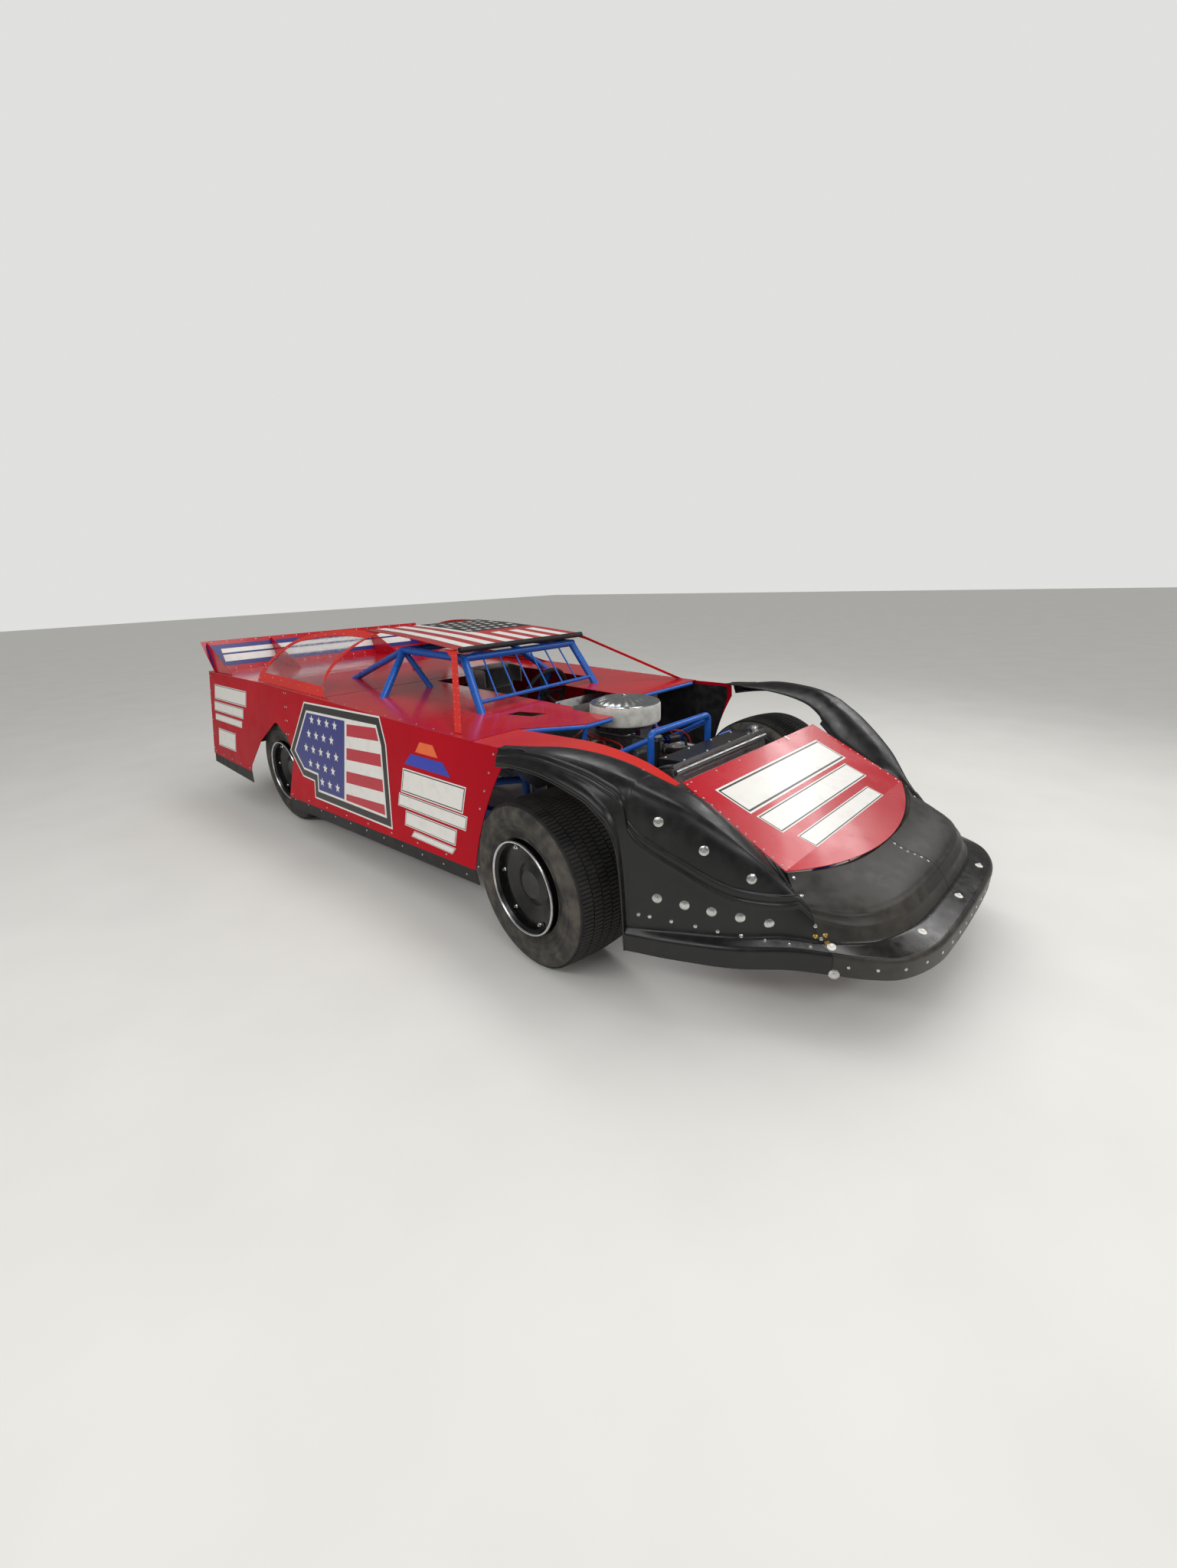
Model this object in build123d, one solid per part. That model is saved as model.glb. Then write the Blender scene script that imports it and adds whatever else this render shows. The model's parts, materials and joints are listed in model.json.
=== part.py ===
from build123d import *
import os
from math import cos, hypot, pi, radians, sin, tan

# A dirt-track late-model stock car. Millimetres, +Z up, nose towards -Y, the car's left is +X.
# The origin is on the floor under the middle of the car.

# Whole car
front_overhang = 1365
wheelbase = 2630
rear_overhang = 1225
tail_y = 0.5 * (front_overhang + wheelbase + rear_overhang)
rear_axle_y = tail_y - rear_overhang
front_axle_y = rear_axle_y - wheelbase

# Gaps between pieces that seat on each other, and round what passes through a panel
seat_gap = 0.3
hole_gap = 0.5
run_gap = 0.05

# Tyres and wheels
rim_width = 356
rim_radius = 204
bead_radius = 190
tyre_width = rim_width - 16
tread_width = tyre_width - 44
tyre_radius = 364
axle_z = tyre_radius
front_rim_inner_x = 724
rear_rim_inner_x = 589
front_rim_x = front_rim_inner_x + rim_width
rear_rim_x = rear_rim_inner_x + rim_width
cover_bolts = 6

# Hubs, as distances inwards from the outer rim face
hub_face = rim_width - 96
disc_face = rim_width - 44
hub_back = rim_width - 20
hub_radius = 58
disc_radius = 150
disc_thickness = 24
spindle_radius = 25
axle_tube_radius = 38
pinion_reach = 160

# Steering: the wheels stand turned a little to the car's right
steer_rest = -6
kingpin_low = (700, 244)  # x, z
kingpin_high = (672, 520)
steering_arm = 140
steering_eye = (650, front_axle_y - steering_arm, 316)  # top of the arm's eye, wheels straight
rod_end_height = 42
rack_z = 344
wheel_centre = (215, -40, 850)
column_lean = 24
column_radius = 12

# Sheet metal body: outer side planes, deck and sills
panel_t = 3
side_top_x = 934
side_ref_z = 930
side_slope = 0.119
deck_half = 936
deck_front_y = front_axle_y + 275
deck_end_y = tail_y - 50
deck_front_z = 890
deck_line = [  # y, z of the deck's top face
    (deck_front_y, deck_front_z),
    (deck_front_y + 120, deck_front_z),
    (rear_axle_y + 115, deck_front_z + 72),
    (deck_end_y, deck_front_z + 76),
]
sill_front = (front_axle_y + 437, 300)  # y, z of the door's lower front corner
sill_rear = (rear_axle_y - 195, 238)
door_split_y = rear_axle_y - 222
quarter_low = (rear_axle_y + 457, 292)
tail_low_z = 312
skirt_drop = 66
left_edge_y = front_axle_y + 518

# Cockpit opening in the deck
cockpit_right_x = -150
cockpit_left_x = 600
cockpit_front_y = front_axle_y + 605
cockpit_rear_y = 620
notch_left_x = 270
notch_rear_y = -100

# Roof and glass frame
roof_line = [(-115, 1214), (240, 1248), (580, 1272), (897, 1286)]  # y, z of the roof's top face
roof_front_half = 497
roof_rear_half = 458
roof_t = 4
roof_lip_radius = 16
post_width = 52
post_foot = (896, front_axle_y + 595)
sail_normal = (0.589, -0.033, 0.807)
sail_offset = 1272.4
window_t = 1.5

# Plastic nose, fenders and rear bumper cover
plastic_t = 5
nose_split_half = 0.3
hood_rear = (front_axle_y - 419, 785)  # y, z
hood_bend = (front_axle_y - 877, 551)
hood_tip = (front_axle_y - 1027, 505)
hood_rear_half = 603
hood_front_half = 628
hood_gap = seat_gap
bumper_high_z = 640
bumper_low_z = 330
bumper_bow = 46

# Rear spoiler
spoiler_foot_y = tail_y - 185
spoiler_foot_half = 930
spoiler_top = (955, tail_y - 86, 1193)

# Chassis tubes
rail_x = 400
rail_z = 235
rail_width = 50
rail_height = 75
rail_front_y = front_axle_y - 355
rail_rear_y = rear_axle_y - 205
cage_radius = 22
rod_radius = 5
clip_x = 370
clip_z = 600
rear_top_z = 610
floor_top_z = rail_z + 0.5 * rail_height + seat_gap + panel_t

# Suspension
shock_bar_z = 240
shock_bar_radius = 12
shock_end_radius = 14
shock_bar_x = 580
front_shock_foot = (shock_bar_x, front_axle_y, shock_bar_z + shock_bar_radius + 4)
front_shock_head = (470, front_axle_y, 700)
link_x = rear_rim_inner_x - 110
link_post_y = rear_axle_y - 580
rear_shock_foot = (link_x, rear_axle_y + 110, axle_z - 50)
rear_shock_head = (link_x, rear_axle_y + 170, 760)
coil_turns = 9

# Engine, gearbox and fuel cell
crank_z = 372
bank_angle = 45
bore_deck = 229
head_height = 100
cover_height = 62
engine_front_y = front_axle_y + 30
engine_length = 500
engine_rear_y = engine_front_y + engine_length
exhaust_pitch = 108
bell_length = 180
case_length = 330
cleaner_y = engine_front_y + 328
cleaner_radius = 186
cleaner_z = 818
cleaner_height = 116
radiator_y = front_axle_y - 207
radiator_z = 742
radiator_lean = 18
fuel_size = (620, 480, 250)
fuel_y = rear_axle_y + 615
fuel_low_z = 345

# Seat
seat_x = wheel_centre[0]
seat_y = 10
seat_half = 168
seat_wall = 16


def save(name, shape):
    export_step(shape, f"parts/{name}.step")


def mirrored(shape):
    return mirror(shape, about=Plane.YZ)


def save_pair(name, left):
    save(f"left_{name}", left)
    save(f"right_{name}", mirrored(left))


def joined(shapes):
    return Part() + list(shapes)


def apart(shapes):
    return Compound(children=list(shapes))


def both_sides(*left_shapes):
    return apart([*left_shapes, *[mirrored(shape) for shape in left_shapes]])


def sheet(edges, push):
    return Solid.extrude(Face(Wire(edges)), Vector(*push))


def all_edges(lines):
    return [edge for line in lines for edge in line.edges()]


def flat(points, push):
    return Solid.extrude(Face(Wire.make_polygon(points, close=True)), Vector(*push))


def block(size, centre):
    return Pos(*centre) * Box(*size)


def rod(start, end, radius):
    run = Vector(*end) - Vector(*start)
    base = Plane(origin=start, z_dir=run)
    return base * Cylinder(radius, run.length, align=(Align.CENTER, Align.CENTER, Align.MIN))


def tube(points, radius, bend):
    path = FilletPolyline(*points, radius=bend)
    return sweep(Plane(origin=path @ 0, z_dir=path % 0) * Circle(radius), path=path)


def turned(points):
    # A closed section of (along X, radius) points, turned about the X axis.
    return revolve(make_face(Polyline(*points, close=True)), axis=Axis.X)


def turned_upright(points):
    # A closed section of (radius, height) points, turned about the Z axis.
    return revolve(make_face(Polyline(*[(r, 0, z) for r, z in points], close=True)), axis=Axis.Z)


def on_line(table, y):
    for (y0, z0), (y1, z1) in zip(table, table[1:]):
        if y <= y1:
            break
    return z0 + (z1 - z0) * (y - y0) / (y1 - y0)


def between(start, end, share):
    return tuple(a + (b - a) * share for a, b in zip(start, end))


def deck_z(y):
    return on_line(deck_line, y)


def under_deck(y):
    return deck_z(y) - panel_t - seat_gap


def under_roof(y):
    return on_line(roof_line, y) - roof_t - seat_gap


def side_x(z, inset=0):
    return side_top_x + side_slope * (side_ref_z - z) - inset


def side_sheet(edges_of, inset=0):
    # A sheet whose outer face lies in the slanted side plane, pushed inwards by its thickness.
    tilt = hypot(1, side_slope)

    def place(y, z):
        return (side_x(z, inset * tilt), y, z)

    push = (-panel_t / tilt, 0, -panel_t * side_slope / tilt)
    return sheet(edges_of(place), push)


def profile_strip(line, thickness, half_width):
    # A folded sheet that follows (y, z) points, as wide as the car.
    top = [(0, y, z) for y, z in line]
    low = [(0, y, z - thickness) for y, z in reversed(line)]
    strip = flat(top + low, (half_width, 0, 0))
    return strip + mirrored(strip)


def prism(outline, low, high):
    return flat([(x, y, low) for x, y in outline], (0, 0, high - low))


def deck_prism(outline):
    return prism(outline, deck_front_z - 100, deck_line[-1][1] + 100)


# Body panels


def door():
    # The front edge is the wheel arch. The rear edge steps down to the sill behind the quarter's arch.
    arch_top = (sill_front[0] - 177, 812)
    head_z = deck_front_z - 0.1

    def edges(place):
        front = place(*arch_top)
        points = [
            place(*sill_front),
            place(*sill_rear),
            place(sill_rear[0] - 100, 528),
            place(door_split_y, 640),
            place(door_split_y, under_deck(door_split_y)),
            place(sill_front[0] + 40, under_deck(sill_front[0] + 40)),
            place(sill_front[0] + 32, head_z),
            place(arch_top[0], head_z),
            front,
        ]
        arch = ThreePointArc(front, place(sill_front[0] - 60, 565), place(*sill_front))
        return Polyline(*points).edges() + arch.edges()

    return side_sheet(edges)


def quarter():
    start = door_split_y + seat_gap
    rear = deck_end_y

    def edges(place):
        points = [
            place(start, under_deck(start)),
            place(start, 640),
            place(rear_axle_y - 63, 712),
            place(rear_axle_y - 25, 709),
            place(rear_axle_y + 235, 549),
            place(quarter_low[0] - 19, 345),
            place(*quarter_low),
            place(tail_y, tail_low_z),
            place(rear, under_deck(rear)),
            place(rear_axle_y + 115, under_deck(rear_axle_y + 115)),
        ]
        return Polyline(*points, close=True).edges()

    return side_sheet(edges)


def skirt(front, rear, front_reach, rear_reach, front_drop):
    # A flexible black strip lapped 22 mm up behind the sill.
    lap = 22

    def edges(place):
        points = [
            place(front[0] + front_reach[0], front[1] + lap),
            place(rear[0] - rear_reach[0], rear[1] + lap),
            place(rear[0] - rear_reach[1], rear[1] - skirt_drop),
            place(front[0] - front_reach[1], front[1] - skirt_drop - front_drop),
        ]
        return Polyline(*points, close=True).edges()

    return side_sheet(edges, inset=panel_t)


def rocker_skirt():
    return skirt(sill_front, sill_rear, (15, 30), (10, 12), 0)


def rear_skirt():
    return skirt(quarter_low, (tail_y, tail_low_z), (8, 22), (8, 8), 14)


def deck():
    # Cut away over the engine, round the driver, and for the roll cage's legs.
    outline = [
        (-deck_half, deck_front_y + 200),
        (-655, deck_front_y + 200),
        (-400, deck_front_y + 2),
        (-196, deck_front_y + 2),
        (-196, cockpit_front_y - 50),
        (cockpit_right_x, cockpit_front_y),
        (cockpit_right_x, cockpit_rear_y),
        (cockpit_left_x, cockpit_rear_y),
        (cockpit_left_x, notch_rear_y),
        (notch_left_x, notch_rear_y),
        (notch_left_x, left_edge_y - 1),
        (deck_half, left_edge_y + 5),
        (deck_half, deck_end_y),
        (-deck_half, deck_end_y),
    ]
    slot_front = cockpit_front_y - 10
    slot_rear = slot_front + 150
    slot = deck_prism([(-500, slot_rear), (-440, slot_front), (-350, slot_front), (-410, slot_rear)])
    strip = profile_strip(deck_line, panel_t, deck_half)
    return (strip & deck_prism(outline)) - [slot, cage_rods(hole_gap)]


def hood_rail():
    # The strip of deck that stays beside the open engine bay, on the right.
    rear = (deck_front_y + 199.2, deck_front_z)
    bend = (front_axle_y + 95, deck_front_z)
    crown = (front_axle_y - 195, deck_front_z - 33)

    def face(drop):
        arc = ThreePointArc(*[(0, y, z - drop) for y, z in (bend, crown, hood_rear)])
        return [Line((0, rear[0], rear[1] - drop), (0, bend[0], bend[1] - drop)), arc]

    top = face(0)
    low = face(panel_t)
    ends = [Line(top[0] @ 0, low[0] @ 0), Line(top[1] @ 1, low[1] @ 1)]
    outline = [  # x, y behind the front axle
        (-932, 485),
        (-932, 260),
        (-808, -45),
        (-758, -255),
        (-706, -395),
        (-620, -455),
        (-612, -255),
        (-655, 485),
    ]
    plan = prism([(x, front_axle_y + y) for x, y in outline], hood_rear[1] - 100, deck_front_z + 100)
    return sheet(all_edges(top + low + ends), (-deck_half, 0, 0)) & plan


def hood():
    # The red panel on the nose: a folded sheet with a bowed front edge.
    rear_y = hood_rear[0] - 1
    corners = [(hood_rear_half, rear_y, 0), (hood_front_half, hood_bend[0], 0)]
    right = [(-x, y, z) for x, y, z in corners]
    bow = ThreePointArc(corners[1], (0, hood_tip[0], 0), right[1])
    lines = [Line(right[0], corners[0]), Line(*corners), bow, Line(right[1], right[0])]
    plan = sheet(all_edges(lines), (0, 0, 2 * hood_rear[1]))
    slope = (hood_bend[1] - hood_tip[1]) / (hood_bend[0] - hood_tip[0])
    beyond = (hood_tip[0] - 18, hood_tip[1] - 18 * slope)
    return profile_strip([beyond, hood_bend, (rear_y, hood_rear[1])], panel_t, hood_front_half + 12) & plan


def roof():
    front_y = roof_line[0][0]
    rear_y = roof_line[-1][0]
    outline = [
        (-roof_front_half, front_y),
        (roof_front_half, front_y),
        (roof_rear_half, rear_y),
        (-roof_rear_half, rear_y),
    ]
    return profile_strip(roof_line, roof_t, roof_front_half) & prism(outline, 0, 2 * roof_line[-1][1])


def roof_lip():
    front_y, front_z = roof_line[0]
    y = front_y - roof_lip_radius - seat_gap
    z = front_z - 6
    half = roof_front_half - 14
    return rod((-half, y, z), (half, y, z), roof_lip_radius)


def window_post():
    # A flat strip from the deck to the roof, with a small gusset under the roof's edge.
    head_y = roof_line[0][0] + 3
    foot_x, foot_y = post_foot
    head = (roof_front_half - 8, head_y, under_roof(head_y))
    foot = (foot_x, foot_y, deck_z(foot_y + post_width) + panel_t + seat_gap)

    def place(share, offset):
        x, y, z = between(head, foot, share)
        return (x, y + offset, z)

    gusset = [place(0, post_width + 60), place(0.12, post_width)]
    points = [place(0, 0), *gusset, place(1, post_width), place(1, 0)]
    return flat(points, (-panel_t * 0.6, 0, -panel_t * 0.8))


def sail_point(y, z, depth=0):
    # A point of the slanted sail plane, or depth behind it.
    nx, ny, nz = sail_normal
    x = (sail_offset - ny * y - nz * z) / nx
    return (x - nx * depth, y - ny * depth, z - nz * depth)


def sail_points(*spots, depth=0):
    return [sail_point(y, z, depth) for y, z in spots]


def sail_push(depth):
    return tuple(-n * depth for n in sail_normal)


def sail_panel():
    foot_front_y = 620
    foot_rear_y = rear_axle_y + 216
    foot_front = (foot_front_y, deck_z(foot_front_y) + panel_t + seat_gap)
    foot_rear = (foot_rear_y, deck_z(foot_rear_y) + 2 * panel_t)
    head_front = (726, under_roof(726))
    head_rear = (890, under_roof(890))
    shoulder = (foot_rear_y - 1, 1230)
    outer = [
        ThreePointArc(*sail_points(foot_front, (880, 1090), head_front)),
        Line(*sail_points(head_front, head_rear)),
        ThreePointArc(*sail_points(head_rear, (1300, 1272), shoulder)),
        ThreePointArc(*sail_points(shoulder, (foot_rear_y + 121, 1090), foot_rear)),
        Line(*sail_points(foot_rear, foot_front)),
    ]
    low_front = (730, 985)
    low_rear = (foot_rear_y + 29, 1015)
    top_front = (825, 1240)
    top_rear = (foot_rear_y - 26, 1202)
    window = [
        ThreePointArc(*sail_points(low_front, (925, 1110), top_front)),
        ThreePointArc(*sail_points(top_front, (1250, 1242), top_rear)),
        ThreePointArc(*sail_points(top_rear, (foot_rear_y + 79, 1090), low_rear)),
        Line(*sail_points(low_rear, low_front)),
    ]
    return sheet(all_edges(outer), sail_push(panel_t)) - sheet(all_edges(window), sail_push(panel_t))


def sail_window():
    # The clear sheet behind the sail panel's opening, lapped onto its inner face.
    depth = panel_t + seat_gap
    rear_y = rear_axle_y + 216
    low_front = (705, 970)
    top_front = (805, 1253)
    top_rear = (rear_y - 16, 1213)
    low_rear = (rear_y + 39, 1000)
    lines = [
        ThreePointArc(*sail_points(low_front, (915, 1108), top_front, depth=depth)),
        ThreePointArc(*sail_points(top_front, (1250, 1253), top_rear, depth=depth)),
        ThreePointArc(*sail_points(top_rear, (rear_y + 94, 1090), low_rear, depth=depth)),
        Line(*sail_points(low_rear, low_front, depth=depth)),
    ]
    return sheet(all_edges(lines), sail_push(window_t))


def spoiler():
    top_x, top_y, top_z = spoiler_top
    foot_z = deck_z(spoiler_foot_y) + seat_gap
    half = [
        (0, spoiler_foot_y, foot_z),
        (spoiler_foot_half, spoiler_foot_y, foot_z),
        (top_x, top_y, top_z),
        (0, top_y, top_z),
    ]
    left = flat(half, (0, panel_t, 0))
    return left + mirrored(left)


def spoiler_braces():
    top_y, top_z = spoiler_top[1:]
    lean = (top_y - spoiler_foot_y) / (top_z - deck_z(spoiler_foot_y))
    foot_y = spoiler_foot_y - seat_gap
    head_z = top_z - 12
    head_y = foot_y + lean * (head_z - deck_z(foot_y))
    pieces = []
    for x, reach in [(-918, 330), (-440, 430), (440, 430), (918, 330)]:
        front_y = foot_y - reach
        points = [
            (x, front_y, deck_z(front_y) + seat_gap),
            (x, foot_y, deck_z(foot_y) + seat_gap),
            (x, head_y, head_z),
            (x, head_y - 30, head_z),
        ]
        pieces.append(flat(points, (panel_t if x < 0 else -panel_t, 0, 0)))
    return pieces


def tail_panel():
    y = deck_end_y - panel_t
    top = under_deck(y)
    inset = panel_t + 1
    low_half = side_x(bumper_high_z, inset)
    top_half = side_x(top, inset)
    points = [(-low_half, bumper_high_z), (low_half, bumper_high_z), (top_half, top), (-top_half, top)]
    return flat([(x, y, z) for x, z in points], (0, -panel_t, 0))


def rear_bumper_cover():
    y = deck_end_y - panel_t
    high = bumper_high_z - seat_gap
    half = side_x(high, panel_t + 1)
    corners = [(-half, y, bumper_low_z), (half, y, bumper_low_z)]
    outer = ThreePointArc(corners[0], (0, y + bumper_bow, bumper_low_z), corners[1])
    inner_corners = [(x, y - plastic_t, z) for x, y, z in corners]
    inner = ThreePointArc(inner_corners[1], (0, y + bumper_bow - plastic_t, bumper_low_z), inner_corners[0])
    ends = [Line(outer @ 1, inner @ 0), Line(inner @ 1, outer @ 0)]
    edges = outer.edges() + ends[0].edges() + inner.edges() + ends[1].edges()
    return sheet(edges, (0, 0, high - bumper_low_z))


# Moulded nose and fenders: ruled lofts through upright stations.
# A station runs from the hood's edge outwards. Columns: inner x, inner y, inner z, outer x, outer y,
# crest share of the run, crest z, foot share of the wall, foot z of the wall, low z of the lip.
# Each y is a distance ahead of the front axle.
nose_stations = [
    (nose_split_half, 1032, 502, nose_split_half, 1365, 0.40, 462, 0.70, 346, 246),
    (170, 1027, 504, 210, 1362, 0.40, 464, 0.70, 346, 246),
    (330, 1007, 512, 400, 1346, 0.40, 466, 0.70, 346, 246),
    (480, 964, 527, 555, 1286, 0.39, 468, 0.70, 345, 246),
    (572, 922, 540, 636, 1192, 0.37, 470, 0.69, 344, 246),
    (634, 885, 549, 684, 1090, 0.34, 474, 0.68, 343, 246),
]
# The fender beside the wheel, from the nose joint back to the arch's front edge
wall_stations = [
    (634.6, 884.9, 549, 684.6, 1089.9, 0.34, 474, 0.68, 343, 246),
    (630, 820, 579, 750, 965, 0.42, 560, 0.72, 345, 245),
    (621.4, 715, 634.4, 862, 810, 0.52, 700, 0.82, 344, 243),
    (611, 570, 710.5, 950, 610, 0.56, 838, 0.88, 340, 240),
    (690, 470, 772, 990, 490, 0.52, 888, 0.90, 336, 238),
    (702, 423, 792, 1005, 440, 0.50, 902, 0.91, 334, 236),
]
# The arch over the wheel, from its front edge back to the door
arch_stations = [
    (722, 395, 814, 1012, 415, 0.50, 914, 0.93, 700, 640),
    (752, 315, 855, 1030, 325, 0.50, 936, 0.93, 820, 778),
    (774, 195, 884, 1035, 195, 0.50, 944, 0.93, 866, 830),
    (806, 45, 897, 1030, 45, 0.50, 936, 0.93, 886, 856),
    (850, -135, 899, 1010, -115, 0.46, 913, 0.93, 876, 851),
    (902, -283, 895.4, 985, -255, 0.45, 896, 0.93, 848, 828),
]
wall_ribs = [0, 7, 7, 0, 0, 5, 5, 0]  # push of the wall at each step back from the arch's front edge
wall_rib_step = 9
rib_height = 6


def smooth_rows(rows, steps):
    # Rows between the given ones, on a smooth run through them (Catmull and Rom's formula).
    padded = [rows[0], *rows, rows[-1]]
    result = []
    for a, b, c, d in zip(padded, padded[1:], padded[2:], padded[3:]):
        for i in range(steps):
            t = i / steps
            row = []
            for p, q, r, s in zip(a, b, c, d):
                slope_in = 0.5 * (r - p)
                slope_out = 0.5 * (s - q)
                lift = 3 * (r - q) - 2 * slope_in - slope_out
                twist = 2 * (q - r) + slope_in + slope_out
                row.append(q + t * (slope_in + t * (lift + t * twist)))
            result.append(tuple(row))
    return result + [rows[-1]]


def station_profile(run, inner_z, crest_share, crest_z, foot_share, foot_z, low_z, rib):
    # Top, crest, rounded wall with a rib, ledge and lip, as (distance, z) points.
    crest = crest_share * run
    foot = foot_share * run
    drop = crest_z - foot_z
    points = [(0, inner_z)]
    points += [(0.5 * crest, inner_z + 0.78 * (crest_z - inner_z))]
    points += [(crest, crest_z)]
    for share, push in [(0.30, 0), (0.52, 0), (0.60, rib), (0.68, rib), (0.76, 0), (0.90, 0)]:
        turn = share * pi / 2
        out = 0.45 * share + 0.55 * sin(turn)
        fall = 0.45 * share + 0.55 * (1 - cos(turn))
        points.append((crest + (foot - crest) * out + push, crest_z - drop * fall + 0.5 * push))
    ledge_z = foot_z - 0.16 * (foot_z - low_z)
    points += [(foot, foot_z), (0.965 * run, ledge_z), (run, ledge_z - 14), (0.99 * run, low_z)]
    return points


def thick_loop(profile, thickness):
    # Closes an open (distance, z) profile into a thin loop, offset to its inner side.
    inner = []
    last = len(profile) - 1
    for i, (s, z) in enumerate(profile):
        before = profile[max(i - 1, 0)]
        after = profile[min(i + 1, last)]
        ds = after[0] - before[0]
        dz = after[1] - before[1]
        length = hypot(ds, dz)
        inner.append((s + thickness * dz / length, z - thickness * ds / length))
    return profile + inner[::-1]


def station_wire(row, rib=0, push=0):
    x0, ahead0, z0, x1, ahead1, crest_share, crest_z, foot_share, foot_z, low_z = row
    run = hypot(x1 - x0, ahead1 - ahead0)
    ux = (x1 - x0) / run
    uy = (ahead0 - ahead1) / run
    profile = station_profile(run, z0, crest_share, crest_z, foot_share, foot_z, low_z, rib)
    grown = [(s + push * min(1, s / (0.6 * run)), z) for s, z in profile]
    loop = thick_loop(grown, plastic_t)
    points = [(x0 + ux * s, front_axle_y - ahead0 + uy * s, z) for s, z in loop]
    return Wire.make_polygon(points, close=True)


def nose_half():
    return Solid.make_loft([station_wire(row) for row in smooth_rows(nose_stations, 3)], True)


def clear_of_hood(row):
    # Keeps a station's inner end outside the hood's straight side edge.
    rear = front_axle_y - hood_rear[0]
    front = front_axle_y - hood_bend[0]
    share = (row[1] - rear) / (front - rear)
    if not 0 <= share <= 1:
        return row
    edge = hood_rear_half + share * (hood_front_half - hood_rear_half)
    return (max(row[0], edge + hood_gap), *row[1:])


def fender():
    wires = [station_wire(clear_of_hood(row)) for row in smooth_rows(wall_stations, 3)[:-1]]
    first = wall_stations[-1]
    for i, push in reversed(list(enumerate(wall_ribs))):
        back = i * wall_rib_step
        row = (first[0], first[1] + back, first[2], first[3], first[4] + back, *first[5:])
        wires.append(station_wire(row, push=push))
    rows = smooth_rows(arch_stations, 3)
    for i, row in enumerate(rows):
        share = min(1, i / 3, (len(rows) - 1 - i) / 3)
        wires.append(station_wire(row, rib=rib_height * share))
    return Solid.make_loft(wires, True)


# Wheels and tyres, made about the X axis with the outer rim face at x = 0


def tyre_shape():
    half = tyre_width / 2
    bead_half = half - 24
    shoulder = tread_width / 2
    side = [
        (bead_half - 6, bead_radius + 1),
        (bead_half, bead_radius + 14),
        (half, bead_radius + 76),
        (half - 6, tyre_radius - 36),
        (shoulder, tyre_radius - 9),
    ]
    return turned([(-x, r) for x, r in side] + [(0, tyre_radius)] + side[::-1])


def rim_shape():
    # Barrel with a drop centre, dished cover outside and a web round the hub inside.
    w = rim_width
    lip = rim_radius
    bead = bead_radius
    drop = bead - 20
    wall = 6
    outer = [
        (0, lip),
        (10, lip),
        (14, bead + 1),
        (15, bead),
        (56, bead),
        (88, drop),
        (w - 100, drop),
        (w - 70, bead),
        (w - 15, bead),
        (w - 14, bead + 1),
        (w - 10, lip),
        (w, lip),
    ]
    inner = [
        (w, lip - wall - 1),
        (w - 16, bead - wall),
        (w - 66, bead - wall),
        (w - 96, drop - wall),
        (84, drop - wall),
        (52, bead - wall),
        (16, bead - wall),
        (0, lip - wall - 1),
    ]
    barrel = turned([(-x, r) for x, r in outer + inner])
    face = [(50, 0), (50, 60), (62, 95), (40, 150), (40, 185)]
    back = [(44, 185), (45, 152), (67, 96), (54, 61), (54, 0)]
    cover = turned([(-x, r) for x, r in face + back])
    web_x = hub_face - 8
    web_low = hub_radius + 6
    web_high = bead - 24
    web = turned([(-web_x, web_low), (-web_x, web_high), (-web_x - 8, web_high), (-web_x - 8, web_low)])
    turn = 360 / cover_bolts
    bolts = [Rot((i + 0.5) * turn, 0, 0) * rod((-36, 0, 168), (-43, 0, 168), 9) for i in range(cover_bolts)]
    return joined([barrel, cover, web, *bolts])


def hub_shape(bore_radius):
    # Drum, flange behind the rim's web, and brake disc, bored for the shaft.
    face = -(hub_face - 10)
    drum = turned([(face, 0), (face, hub_radius), (-hub_back, hub_radius), (-hub_back, 0)])
    disc = turned([(-x, r) for x, r in ring_section(disc_face, disc_thickness, disc_radius)])
    flange = turned([(-x, r) for x, r in ring_section(hub_face + seat_gap, 12, hub_radius + 26)])
    bore = turned([(-x, r) for x, r in ring_section(hub_face - 30, 200, bore_radius)])
    return joined([drum, flange, disc]) - bore


def ring_section(start, thickness, radius):
    return [(start, 0), (start, radius), (start + thickness, radius), (start + thickness, 0)]


def spindle(end):
    return turned([(-x, r) for x, r in ring_section(hub_face + 12, end - hub_face - 12, spindle_radius)])


def front_place():
    return Pos(front_rim_x, front_axle_y, axle_z)


def rear_place():
    return Pos(rear_rim_x, rear_axle_y, axle_z)


def on_kingpin(z):
    low_x, low_z = kingpin_low
    high_x, high_z = kingpin_high
    return (low_x + (high_x - low_x) * (z - low_z) / (high_z - low_z), front_axle_y, z)


def kingpin_axis():
    low = Vector(*on_kingpin(kingpin_low[1]))
    high = Vector(*on_kingpin(kingpin_high[1]))
    return Axis(tuple(low), tuple(high - low))


def along_kingpin(point, distance):
    return tuple(Vector(*point) + kingpin_axis().direction * distance)


def turned_about_kingpin(shape, angle):
    return shape.rotate(kingpin_axis(), angle)


def turned_eye(angle):
    axis = kingpin_axis()
    offset = Vector(*steering_eye) - axis.position
    return tuple(axis.position + offset.rotate(Axis((0, 0, 0), tuple(axis.direction)), angle))


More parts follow.
